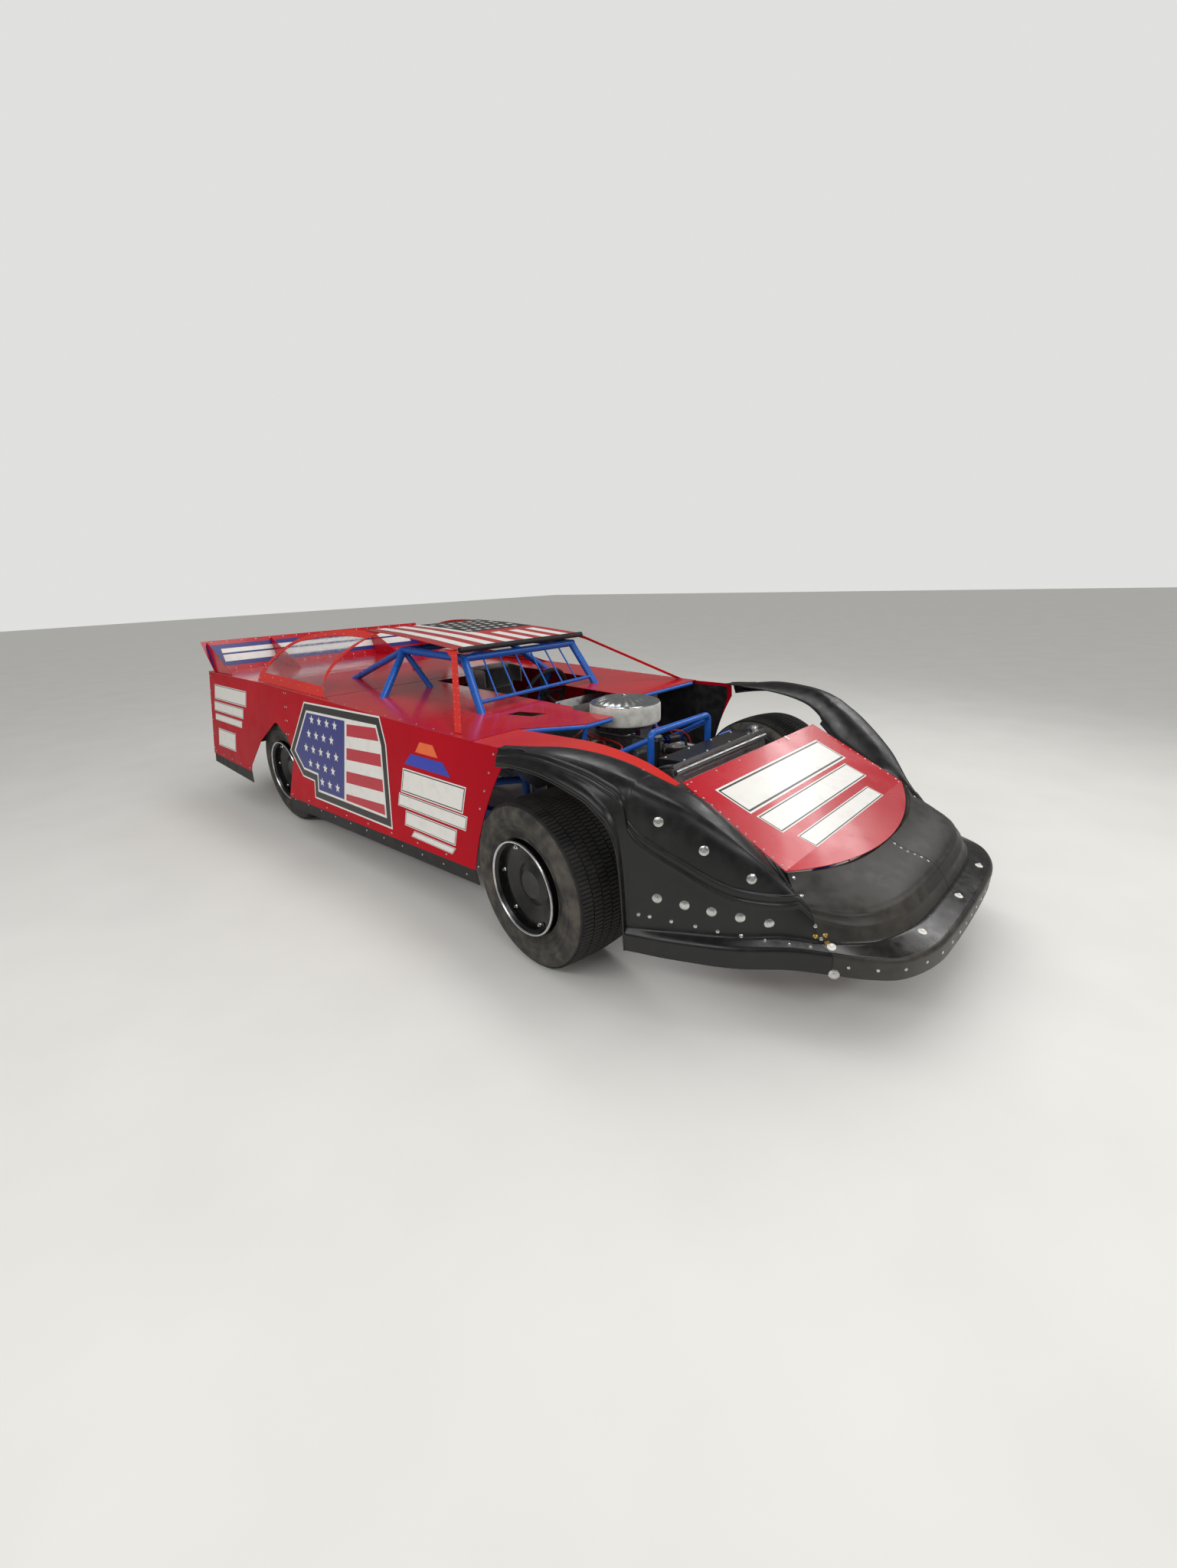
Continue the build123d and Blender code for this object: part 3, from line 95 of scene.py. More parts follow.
def addNode(tree, kind, settings=None, links=None):
    node = tree.nodes.new(kind)
    for name, value in (settings or {}).items():
        if isinstance(name, int) or name in node.inputs:
            node.inputs[name].default_value = value
        else:
            setattr(node, name, value)
    for name, source in (links or {}).items():
        tree.links.new(source, node.inputs[name])
    return node


studio = {
    "surroundings": "#e9e9e7",
    "seenStrength": 0.92,
    "fillStrength": 0.80,
    "mirroredStrength": 0.2,
    "floorColour": "#e2e1de",
    "floorSize": 80,
    "panels": [  # name, place, aims at, width, height, watts
        ("topPanel", (0.6, -0.4, 4.4), (0.1, -0.3, 0.6), 6.0, 0.9, 78),
        ("farPanel", (3.6, -3.2, 3.2), (0.2, -1.0, 0.5), 5.0, 0.5, 50),
        ("sidePanel", (-4.8, -1.0, 3.4), (-0.4, 0.2, 0.5), 5.5, 0.6, 75),
        ("nosePanel", (-1.2, -6.2, 3.4), (0.0, -1.6, 0.5), 4.0, 0.6, 48),
    ],
}


def makeStudio():
    world = bpy.data.worlds.new("studio")
    scene.world = world
    world.use_nodes = True
    tree = world.node_tree
    tree.nodes.clear()
    rays = addNode(tree, "ShaderNodeLightPath")
    pale = toLinear(studio["surroundings"])
    seen, fill, mirrored = (addNode(tree, "ShaderNodeBackground", {"Color": pale, "Strength": studio[key]})
                            for key in ("seenStrength", "fillStrength", "mirroredStrength"))
    clear = combine(tree, "MAXIMUM", rays.outputs["Is Camera Ray"], rays.outputs["Is Transmission Ray"])
    lit = addNode(tree, "ShaderNodeMixShader", None,
                  {0: rays.outputs["Is Glossy Ray"], 1: fill.outputs[0], 2: mirrored.outputs[0]})
    mix = addNode(tree, "ShaderNodeMixShader", None,
                  {0: clear, 1: lit.outputs[0], 2: seen.outputs[0]})
    addNode(tree, "ShaderNodeOutputWorld", None, {"Surface": mix.outputs[0]})
    for name, place, aim, width, height, watts in studio["panels"]:
        light = bpy.data.lights.new(name, "AREA")
        light.shape = "RECTANGLE"
        light.size = width
        light.size_y = height
        light.energy = watts
        lamp = bpy.data.objects.new(name, light)
        scene.collection.objects.link(lamp)
        turn = (Vector(aim) - Vector(place)).to_track_quat("-Z", "Y")
        lamp.matrix_world = Matrix.Translation(place) @ turn.to_matrix().to_4x4()
    bm = bmesh.new()
    bmesh.ops.create_grid(bm, x_segments=2, y_segments=2, size=studio["floorSize"] / 2)
    mesh = bpy.data.meshes.new("studioFloor")
    bm.to_mesh(mesh)
    bm.free()
    mesh.materials.append(floorPaint())
    floor = bpy.data.objects.new("studioFloor", mesh)
    scene.collection.objects.link(floor)
    scene.view_settings.view_transform = "Standard"


# Materials


def startMaterial(name, base, roughness, metallic=0.0, **sockets):
    material = bpy.data.materials.new(name)
    material.use_nodes = True
    tree = material.node_tree
    tree.nodes.clear()
    settings = {"Base Color": toLinear(base), "Roughness": roughness, "Metallic": metallic}
    settings.update({key.replace("_", " "): value for key, value in sockets.items()})
    shader = addNode(tree, "ShaderNodeBsdfPrincipled", settings)
    addNode(tree, "ShaderNodeOutputMaterial", None, {"Surface": shader.outputs[0]})
    material.diffuse_color = toLinear(base)
    return material, tree, shader


def objectNoise(tree, size, detail=3.0, stretch=None):
    # A noise whose blotches are about size metres across, on the piece's own coordinates
    source = addNode(tree, "ShaderNodeTexCoord").outputs["Object"]
    if stretch:
        source = addNode(tree, "ShaderNodeMapping", {"Scale": stretch}, {"Vector": source}).outputs[0]
    noise = addNode(tree, "ShaderNodeTexNoise", {"Scale": 1 / size, "Detail": detail}, {"Vector": source})
    return noise.outputs[0]


def combine(tree, operation, *sources):
    # One math node over sockets and plain numbers
    node = addNode(tree, "ShaderNodeMath", {"operation": operation})
    for socket, source in zip(node.inputs, sources):
        if isinstance(source, float):
            socket.default_value = source
        else:
            tree.links.new(source, socket)
    return node.outputs[0]


def ramp(tree, source, low, high, start, end):
    # Turns a 0 to 1 value into start at low and end at high
    return addNode(tree, "ShaderNodeMapRange", {1: low, 2: high, 3: start, 4: end}, {0: source}).outputs[0]


def blendColours(tree, factor, first, second):
    node = addNode(tree, "ShaderNodeMix", {"data_type": "RGBA"})
    tree.links.new(factor, node.inputs[0])
    for socket, colour in ((6, first), (7, second)):
        if isinstance(colour, str):
            node.inputs[socket].default_value = toLinear(colour)
        else:
            tree.links.new(colour, node.inputs[socket])
    return node.outputs[2]


def mottle(tree, shader, source, low, high, most, colour, other):
    # The other colour comes in as the source goes from low to high, up to the share most
    amount = ramp(tree, source, low, high, 0.0, most)
    tree.links.new(blendColours(tree, amount, colour, other), shader.inputs["Base Color"])


def varyRoughness(tree, shader, source, low, high, start, end):
    tree.links.new(ramp(tree, source, low, high, start, end), shader.inputs["Roughness"])


def addBump(tree, shader, source, depth):
    bump = addNode(tree, "ShaderNodeBump", {"Strength": 1.0, "Distance": depth}, {"Height": source})
    tree.links.new(bump.outputs[0], shader.inputs["Normal"])


def floorPaint():
    material, tree, shader = startMaterial("floorPaint", studio["floorColour"], 0.55)
    colour = blendColours(tree, objectNoise(tree, 0.5), "#d6d5d1", "#e1e0dc")
    tree.links.new(colour, shader.inputs["Base Color"])
    return material


def wrappedSheet(name, colour, faded, roughness=0.26, specular=0.4, coat=0.2):
    # Vinyl wrap on aluminium sheet: bright and glossy, gently wavy, a little dull where it was wiped
    material, tree, shader = startMaterial(name, colour, roughness, Specular_IOR_Level=specular,
                                           Coat_Weight=coat, Coat_Roughness=0.08)
    mottle(tree, shader, objectNoise(tree, 0.6, 2.0), 0.35, 0.7, 1.0, colour, faded)
    wiped = objectNoise(tree, 0.14)
    varyRoughness(tree, shader, wiped, 0.35, 0.75, roughness - 0.04, roughness + 0.07)
    addBump(tree, shader, objectNoise(tree, 0.55, 0.0), 1.2 * millimetre)
    return material


def mouldedPolyethylene(name, colour, scuffed, scuffLow, scuffHigh, roughness):
    # Moulded polyethylene: satin, softly waved, scuffed grey where it is rubbed
    material, tree, shader = startMaterial(name, colour, roughness, Specular_IOR_Level=0.5)
    wide, fine = objectNoise(tree, 0.30), objectNoise(tree, 0.045, 7.0)
    scuffs = combine(tree, "MULTIPLY", wide, fine)
    mottle(tree, shader, scuffs, scuffLow, scuffHigh, 1.0, colour, scuffed)
    varyRoughness(tree, shader, fine, 0.3, 0.7, roughness - 0.04, roughness + 0.1)
    skin, ripple = objectNoise(tree, 2.0 * millimetre, 2.0), objectNoise(tree, 0.12, 1.0)
    addBump(tree, shader, combine(tree, "MULTIPLY_ADD", ripple, 12.0, skin), 0.08 * millimetre)
    return material


def tyreRubber(name, colour, dusty, dustHigh=0.75):
    # Cured tread rubber: nearly black, matt, greyer where it is scrubbed
    material, tree, shader = startMaterial(name, colour, 0.72, Specular_IOR_Level=0.4)
    patch = objectNoise(tree, 0.07, 5.0)
    mottle(tree, shader, patch, 0.4, dustHigh, 0.55, colour, dusty)
    varyRoughness(tree, shader, patch, 0.3, 0.7, 0.55, 0.85)
    addBump(tree, shader, objectNoise(tree, 1.6 * millimetre, 2.0), 0.25 * millimetre)
    return material


def powderCoat(name, colour, worn, roughness=0.32, grain=1.8):
    # Baked powder coat: even colour with a faint orange peel and dull rubbed spots
    material, tree, shader = startMaterial(name, colour, roughness)
    rub = objectNoise(tree, 0.05, 5.0)
    mottle(tree, shader, rub, 0.5, 0.8, 0.6, colour, worn)
    varyRoughness(tree, shader, rub, 0.35, 0.75, roughness - 0.08, roughness + 0.16)
    addBump(tree, shader, objectNoise(tree, grain * millimetre, 1.0), 0.06 * millimetre)
    return material


def bareMetal(name, colour, stained, roughness, grain=1.5, depth=0.1, stretch=None):
    # Cast, brushed or plated metal: colour from the metal itself, stained in patches
    material, tree, shader = startMaterial(name, colour, roughness, 1.0)
    stain = objectNoise(tree, 0.04, 5.0)
    mottle(tree, shader, stain, 0.45, 0.8, 0.8, colour, stained)
    varyRoughness(tree, shader, stain, 0.3, 0.75, roughness - 0.08, roughness + 0.15)
    addBump(tree, shader, objectNoise(tree, grain * millimetre, 3.0, stretch), depth * millimetre)
    return material


def wovenWrap(name, light, dark):
    # Woven filter sock over the cleaner: threads 1.4 mm apart, drawn at 2.2 mm so that they show
    material, tree, shader = startMaterial(name, light, 0.9, Sheen_Weight=0.3)
    source = {"Vector": addNode(tree, "ShaderNodeTexCoord").outputs["Object"]}
    threads = []
    for direction in ("X", "Z"):
        bands = {"wave_type": "BANDS", "bands_direction": direction, "Scale": 1 / (2.2 * millimetre) / 20,
                 "Distortion": 0.6, "Detail": 1.0}
        threads.append(addNode(tree, "ShaderNodeTexWave", bands, source).outputs[1])
    mottle(tree, shader, objectNoise(tree, 0.05, 4.0), 0.4, 0.75, 1.0, light, dark)
    addBump(tree, shader, combine(tree, "MULTIPLY", *threads), 0.4 * millimetre)
    return material


def clearSheet():
    # Clear polycarbonate, thin and faintly scratched
    material, tree, shader = startMaterial("polycarbonate", "#f3f6f6", 0.04, Transmission_Weight=1.0, IOR=1.2)
    varyRoughness(tree, shader, objectNoise(tree, 0.02, 6.0), 0.4, 0.8, 0.02, 0.12)
    return material


def flatVinyl(name, colour, worn):
    # Cut vinyl graphic: flat colour, semi gloss, lightly dulled
    material, tree, shader = startMaterial(name, colour, 0.34, Coat_Weight=0.2, Coat_Roughness=0.15)
    mottle(tree, shader, objectNoise(tree, 0.05, 5.0), 0.5, 0.8, 0.5, colour, worn)
    return material


redWrap = wrappedSheet("redWrap", "#b8081f", "#a8061b")
shadedSideWrap = wrappedSheet("shadedSideWrap", "#b2021a", "#a40218", 0.36, 0.08, 0.0)  # duller than the top faces: the same wrap painted a little darker and without its gloss, painted shade for the sides
orangeRedPaint = wrappedSheet("orangeRedPaint", "#c9241b", "#bb1f19")
deckPaint = wrappedSheet("deckPaint", "#b51420", "#a30f1b", 0.18)
roofPaint = wrappedSheet("roofPaint", "#b0161b", "#9f1218")
fenderPlastic = mouldedPolyethylene("fenderPlastic", "#0d0d0e", "#1b1b1b", 0.2, 0.5, 0.30)
nosePlastic = mouldedPolyethylene("nosePlastic", "#24221f", "#3d3832", 0.15, 0.45, 0.40)
rubStrip = mouldedPolyethylene("rubStrip", "#161514", "#2b2724", 0.2, 0.5, 0.2)
skirtPlastic = mouldedPolyethylene("skirtPlastic", "#121213", "#2c2b2a", 0.24, 0.42, 0.5)
treadRubber = tyreRubber("treadRubber", "#1c1b1b", "#3a3733")
wallRubber = tyreRubber("wallRubber", "#2a2928", "#6a6258", 0.68)
wheelPaint = powderCoat("wheelPaint", "#0b0b0c", "#1c1c1d", 0.3)
tubePaint = powderCoat("tubePaint", "#1555ad", "#1a4c96", 0.3)
steelPaint = powderCoat("steelPaint", "#161617", "#2a2a2a", 0.4)
lipFoam = powderCoat("lipFoam", "#131314", "#222223", 0.5)
rimAluminium = bareMetal("rimAluminium", "#d9dadb", "#b4b3ae", 0.22, 0.6, 0.02)
castAluminium = bareMetal("castAluminium", "#9fa0a1", "#5f5d59", 0.45, 2.0, 0.25)
sheetAluminium = bareMetal("sheetAluminium", "#b9babb", "#8e8d89", 0.35, 1.2, 0.04, (1.0, 12.0, 1.0))
castIronGrey = bareMetal("castIronGrey", "#4b4946", "#38322c", 0.55, 2.2, 0.3)
brassPlate = bareMetal("brassPlate", "#c8a667", "#a5834a", 0.32, 0.8, 0.02)
zincPlate = bareMetal("zincPlate", "#cfd0ce", "#9b9a92", 0.28, 0.8, 0.02)
filterSock = wovenWrap("filterSock", "#c7c5bd", "#a3a097")
polishedSteel = bareMetal("polishedSteel", "#d4d6d8", "#a7a8a6", 0.16, 3.0, 0.03)
gripRubber = tyreRubber("gripRubber", "#151515", "#2a2927")
hoseRubber = tyreRubber("hoseRubber", "#121212", "#262524")
redSilicone = powderCoat("redSilicone", "#a81c16", "#8f1a15", 0.45)
redAnodised = bareMetal("redAnodised", "#b3202a", "#8e1a22", 0.3, 0.8, 0.02)
blueAnodised = bareMetal("blueAnodised", "#1f3fb0", "#1a3390", 0.3, 0.8, 0.02)
orangeCap = powderCoat("orangeCap", "#c8331a", "#a92c17", 0.4)
padFabric = wovenWrap("padFabric", "#1d1d20", "#2b2b2d")
polycarbonate = clearSheet()
whiteVinyl = flatVinyl("whiteVinyl", "#dedbd6", "#c6c2bb")
blackVinyl = flatVinyl("blackVinyl", "#111113", "#232325")
navyVinyl = flatVinyl("navyVinyl", "#1d2377", "#232a70")
redVinyl = flatVinyl("redVinyl", "#b3122a", "#a31226")
orangeVinyl = flatVinyl("orangeVinyl", "#e2611f", "#cf5a20")
blueVinyl = flatVinyl("blueVinyl", "#1c2fa8", "#20309a")
print("stage: materials")

nodeFinishes = {
    "door_panels": shadedSideWrap, "quarter_panels": shadedSideWrap, "side_skirts": skirtPlastic, "deck_panel": deckPaint,
    "right_hood_rail": orangeRedPaint, "hood_nosepiece": redWrap, "roof_panel": roofPaint,
    "roof_front_lip": lipFoam, "window_posts": orangeRedPaint, "sail_panels": orangeRedPaint,
    "sail_windows": polycarbonate, "rear_spoiler": redWrap, "tail_panel": redWrap,
    "rear_bumper_cover": nosePlastic, "nose_covers": nosePlastic, "left_front_fender": fenderPlastic,
    "right_front_fender": fenderPlastic, "suspension_arms": steelPaint, "coil_overs": steelPaint,
    "steering_gear": steelPaint, "rear_axle": castIronGrey, "gearbox": castAluminium,
    "driveshaft": sheetAluminium, "chassis_frame": tubePaint, "roll_cage": tubePaint,
    "cockpit_sheets": sheetAluminium, "seat": sheetAluminium, "steering_wheel": gripRubber,
    "engine_block": castIronGrey, "cylinder_heads": castAluminium, "intake_manifold": castAluminium,
    "air_cleaner": filterSock, "exhaust_headers": castIronGrey, "radiator": sheetAluminium,
    "fuel_cell": steelPaint, "radiator_hoses": hoseRubber,
}
cornerFinishes = {"tyre": treadRubber, "knuckle": castIronGrey, "wheel": wheelPaint}


def dressNodes():
    for name, node in nodes.items():
        finish = nodeFinishes.get(name) or cornerFinishes[name.split("_")[-1]]
        node.data.materials.clear()
        node.data.materials.append(finish)
        for face in node.data.polygons:
            face.material_index = 0


# Shared makers


def finishPiece(name, bm, finishes, body, smoothAngle=35):
    bmesh.ops.recalc_face_normals(bm, faces=bm.faces)
    mesh = bpy.data.meshes.new(name)
    bm.to_mesh(mesh)
    bm.free()
    for finish in finishes:
        mesh.materials.append(finish)
    for face in mesh.polygons:
        face.use_smooth = True
    mesh.set_sharp_from_angle(angle=math.radians(smoothAngle))
    piece = bpy.data.objects.new(name, mesh)
    scene.collection.objects.link(piece)
    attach(piece, body)
    return piece


def facing(point, normal):
    turn = Vector(normal).normalized().to_track_quat("Z", "Y")
    return Matrix.Translation(Vector(point)) @ turn.to_matrix().to_4x4()


def paint(verts, material):
    for face in {f for v in verts for f in v.link_faces}:
        face.material_index = material


def addCone(bm, place, low, high, base, depth, segments, material=0):
    # A tapered disc that stands on place, from height base
    rise = Matrix.Translation((0, 0, base + depth / 2))
    made = bmesh.ops.create_cone(bm, cap_ends=True, segments=segments, radius1=low, radius2=high,
                                 depth=depth, matrix=place @ rise)
    paint(made["verts"], material)


def addBox(bm, place, size, material=0):
    made = bmesh.ops.create_cube(bm, size=1, matrix=place @ Matrix.Diagonal((*size, 1)))
    paint(made["verts"], material)


def addTube(bm, points, radius, segments=10, material=0):
    # Straight runs with a ring at each point, mitred at the corners
    rings = []
    spots = [Vector(p) for p in points]
    for i, spot in enumerate(spots):
        before = (spot - spots[i - 1]).normalized() if i else None
        after = (spots[i + 1] - spot).normalized() if i + 1 < len(spots) else None
        along = (before + after).normalized() if before and after else (before or after)
        if not rings:
            turn = along.to_track_quat("Z", "Y")
        else:
            turn = last.rotation_difference(along) @ turn
        last = along
        ring = bmesh.ops.create_circle(bm, segments=segments, radius=radius,
                                       matrix=Matrix.Translation(spot) @ turn.to_matrix().to_4x4())
        rings.append(ring["verts"])
    faces = []
    for low, high in zip(rings, rings[1:]):
        for i in range(segments):
            j = (i + 1) % segments
            faces.append(bm.faces.new((low[i], low[j], high[j], high[i])))
    faces.append(bm.faces.new(rings[0][::-1]))
    faces.append(bm.faces.new(rings[-1]))
    for face in faces:
        face.material_index = material


def arcPoints(points, steps=6):
    # Rounds a route's corners with short quadratic bends, for hoses and wires
    spots = [Vector(p) for p in points]
    made = [spots[0]]
    for a, b, c in zip(spots, spots[1:], spots[2:]):
        start = a.lerp(b, 0.5) if a is not spots[0] else a.lerp(b, 0.4)
        end = b.lerp(c, 0.5) if c is not spots[-1] else b.lerp(c, 0.6)
        for i in range(steps + 1):
            t = i / steps
            made.append(start * (1 - t) ** 2 + b * 2 * t * (1 - t) + end * t ** 2)
    made.append(spots[-1])
    kept = [made[0]]
    for spot in made[1:]:
        if (spot - kept[-1]).length > 1e-4:
            kept.append(spot)
    return kept


treesByNode = {}  # surfaces that bolts and rivets are set on
moulded = {}


def surfacesOf(name):
    # A moulded piece's own surfaces, or else the frame node's
    if name in moulded:
        return moulded[name]
    if name not in treesByNode:
        mesh = nodes[name].data
        treesByNode[name] = [BVHTree.FromPolygons([v.co for v in mesh.vertices],
                                                  [tuple(p.vertices) for p in mesh.polygons])]
    return treesByNode[name]


def hitAlong(name, start, direction):
    start, direction = Vector(start), Vector(direction).normalized()
    nearest = None
    for surface in surfacesOf(name):
        spot, normal, _, distance = surface.ray_cast(start, direction)
        if spot is not None and (nearest is None or distance < nearest[2]):
            nearest = (spot, -normal if normal.dot(direction) > 0 else normal, distance)
    return nearest[:2] if nearest else None


def hitFromCamera(name, point):
    start = Vector(photoCamera["place"])
    return hitAlong(name, start, Vector(point) - start)


def aroundCircle(count, radius):
    for i in range(count):
        angle = i * 2 * math.pi / count
        yield radius * math.cos(angle), radius * math.sin(angle)


def flipped(vector):
    return Vector((-vector[0], vector[1], vector[2]))


def bothSides(found):
    # A spot and its normal on the car's right, then the same on its left
    return found, tuple(flipped(v) for v in found)


def evenly(start, end, count):
    start, end = Vector(start), Vector(end)
    return [start.lerp(end, i / (count - 1)) for i in range(count)]


def heightOn(line, y):
    # Height at y on a run of (y, z) points, straight on past its end
    for (y0, z0), (y1, z1) in zip(line, line[1:]):
        if y <= y1:
            break
    return z0 + (z1 - z0) * (y - y0) / (y1 - y0)


# Side plane of the doors and quarters

sidePlane = {"topX": 0.934, "refZ": 0.93, "slope": 0.119}


def onSide(side, y, z, lift):
    x = sidePlane["topX"] + sidePlane["slope"] * (sidePlane["refZ"] - z)
    return Vector((side * x, y, z)) + sideNormal(side) * lift


def sideNormal(side):
    return Vector((side, 0, sidePlane["slope"])).normalized()


# Flat graphics: each is an outline on a plane, given as (u, v), laid in thin layers


def layPolygon(bm, outline, place, lift, material, thickness=0.0002):
    # place turns (u, v, lift) into a point; the sheet is thin but closed
    low = [bm.verts.new(place(u, v, lift)) for u, v in outline]
    face = bm.faces.new(low)
    made = bmesh.ops.extrude_face_region(bm, geom=[face])
    top = [e for e in made["geom"] if isinstance(e, bmesh.types.BMVert)]
    step = place(outline[0][0], outline[0][1], lift + thickness) - place(outline[0][0], outline[0][1], lift)
    bmesh.ops.translate(bm, verts=top, vec=step)
    paint(low + top, material)


def grown(outline, amount):
    # Moves each side of a convex or nearly convex outline outwards by amount
    count = len(outline)
    area = sum(outline[i][0] * outline[(i + 1) % count][1] - outline[(i + 1) % count][0] * outline[i][1]
               for i in range(count))
    turn = 1 if area > 0 else -1
    result = []
    for i in range(count):
        a, b, c = (Vector(outline[(i + k) % count]) for k in (-1, 0, 1))
        first, second = (b - a).normalized(), (c - b).normalized()
        n1 = Vector((first.y, -first.x)) * turn
        n2 = Vector((second.y, -second.x)) * turn
        push = (n1 + n2) / max(1 + n1.dot(n2), 0.3)
        result.append(tuple(b + push * amount))
    return result


def starOutline(u, v, radius):
    points = []
    for i in range(10):
        reach = radius if i % 2 == 0 else radius * 0.42
        angle = math.pi / 2 + i * math.pi / 5
        points.append((u + reach * math.cos(angle), v + reach * math.sin(angle)))
    return points


def starSpots(form):
    # Rows of stars, every other row half a pitch along
    columns, rows = form["starGrid"]
    (u, v), (across, up) = form["firstStar"], form["starPitch"]
    for row in range(rows):
        for column in range(columns):
            yield u + (column + row % 2 / 2) * across, v + row * up


def slantedBar(u, v, width, height, lean):
    return [(u, v), (u + width, v), (u + width + lean, v + height), (u + lean, v + height)]


def layBar(bm, bar, place, border, line):
    # A white bar with a black line set off from its edge, on a white border
    layPolygon(bm, grown(bar, border), place, 0.0004, 1)
    layPolygon(bm, grown(bar, border * line), place, 0.0007, 0)
    layPolygon(bm, bar, place, 0.0010, 1)


numberShield = {
    "outline": [(0.875, 0.868), (0.02, 0.882), (-0.03, 0.764), (-0.067, 0.352), (0.778, 0.338),
                (0.778, 0.442), (0.95, 0.447), (1.094, 0.566)],
    "borders": [(0.030, 2, 0.0004), (0.020, 0, 0.0007), (-0.020, 2, 0.0010), (-0.026, 1, 0.0013)],
    "fieldInset": -0.034,
    "splitFoot": (0.42, 0.30),
    "splitHead": (0.36, 0.90),
    "splitGap": 0.012,
    "stripes": 7,
    "stripeUp": (0.06, 1),
    "starGrid": (6, 5),
    "firstStar": (0.50, 0.43),
    "starPitch": (0.098, 0.092),
    "starSize": 0.030,
}


def cutBy(outline, point, normal):
    # Keeps the part of an outline on the far side of a line
    kept = []
    count = len(outline)
    for i in range(count):
        a, b = Vector(outline[i]), Vector(outline[(i + 1) % count])
        da, db = (a - point).dot(normal), (b - point).dot(normal)
        if da >= 0:
            kept.append(tuple(a))
        if da * db < 0:
            kept.append(tuple(a.lerp(b, da / (da - db))))
    return kept


def makeNumberShields():
    # A number-shaped shield without its number: borders, a starred field and stripes
    form = numberShield
    inner = grown(form["outline"], form["fieldInset"])
    foot, head = Vector(form["splitFoot"]), Vector(form["splitHead"])
    along = (head - foot).normalized()
    across = Vector((along.y, -along.x))
    starField = cutBy(inner, foot + across * form["splitGap"], across)
    stripeField = cutBy(inner, foot - across * form["splitGap"], -across)
    low, high = min(v for _, v in inner), max(v for _, v in inner)
    step = (high - low) / form["stripes"]
    up = Vector(form["stripeUp"]).normalized()
    for side, label in ((-1, "right"), (1, "left")):
        bm, place = bmesh.new(), partial(onSide, side)
        for grow, material, lift in form["borders"]:
            layPolygon(bm, grown(form["outline"], grow), place, lift, material)
        layPolygon(bm, starField, place, 0.0016, 3)
        for i in range(form["stripes"]):
            band = cutBy(stripeField, Vector((0, low + i * step)), up)
            band = cutBy(band, Vector((0, low + (i + 1) * step)), -up)
            if len(band) > 2:
                layPolygon(bm, band, place, 0.0016, 4 if i % 2 == 0 else 1)
        for u, v in starSpots(form):
            star = starOutline(u, v, form["starSize"])
            if all(inside(starField, Vector(p)) for p in star):
                layPolygon(bm, star, place, 0.0019, 1)
        finishPiece(f"{label}NumberShield", bm, [blackVinyl, whiteVinyl, whiteVinyl, navyVinyl, redVinyl],
                    "car")


def inside(outline, point):
    result = False
    count = len(outline)
    for i in range(count):
        (x0, y0), (x1, y1) = outline[i], outline[(i + 1) % count]
        if (y0 > point.y) != (y1 > point.y):
            if point.x < (x1 - x0) * (point.y - y0) / (y1 - y0) + x0:
                result = not result
    return result


sideBars = [  # blank bars on the side plane: y of one end, z of the foot, length, height, lean, border
    (-0.205, 0.560, -0.50, 0.105, -0.02, 0.012),
    (-0.170, 0.478, -0.56, 0.055, -0.01, 0.008),
    (-0.230, 0.385, -0.42, 0.065, -0.01, 0.008),
    (-0.290, 0.335, -0.34, 0.026, -0.02, 0.005),
    (2.470, 0.770, -0.62, 0.095, -0.02, 0.010),
    (2.500, 0.675, -0.58, 0.060, -0.01, 0.008),
    (2.500, 0.600, -0.54, 0.042, -0.01, 0.005),
    (2.470, 0.405, -0.34, 0.120, -0.02, 0.010),
]
sideMark = {
    "blue": [(-0.23, 0.70), (-0.62, 0.70), (-0.56, 0.76), (-0.29, 0.76)],
    "orange": [(-0.33, 0.775), (-0.52, 0.775), (-0.48, 0.83), (-0.37, 0.83)],
}


def makeSideBars():
    for side, label in ((-1, "right"), (1, "left")):
        bm, place = bmesh.new(), partial(onSide, side)
        for rear, foot, length, height, lean, border in sideBars:
            layBar(bm, slantedBar(rear + length, foot, -length, height, lean), place, border, 0.45)
        layPolygon(bm, sideMark["blue"], place, 0.0005, 2)
        layPolygon(bm, sideMark["orange"], place, 0.0005, 3)
        finishPiece(f"{label}SideBars", bm, [blackVinyl, whiteVinyl, blueVinyl, orangeVinyl],
                    "car")


hoodFlat = {"rearY": -1.665, "rearZ": 0.785, "frontY": -2.122, "frontZ": 0.551}
hoodBars = [  # y of the rear edge, half length, depth, border
    (-1.765, 0.46, 0.115, 0.016),
    (-1.925, 0.43, 0.080, 0.010),
    (-2.060, 0.36, 0.055, 0.008),
]


def onHood(x, y, lift):
    slope = (hoodFlat["rearZ"] - hoodFlat["frontZ"]) / (hoodFlat["rearY"] - hoodFlat["frontY"])
    normal = Vector((0, -slope, 1)).normalized()
    return Vector((x, y, hoodFlat["rearZ"] + slope * (y - hoodFlat["rearY"]))) + normal * lift


def makeHoodBars():
    bm = bmesh.new()
    for y, half, depth, border in hoodBars:
        layBar(bm, slantedBar(-half, y - depth, 2 * half, depth, -0.02), onHood, border, 0.5)
    finishPiece("hoodBars", bm, [blackVinyl, whiteVinyl], "car")


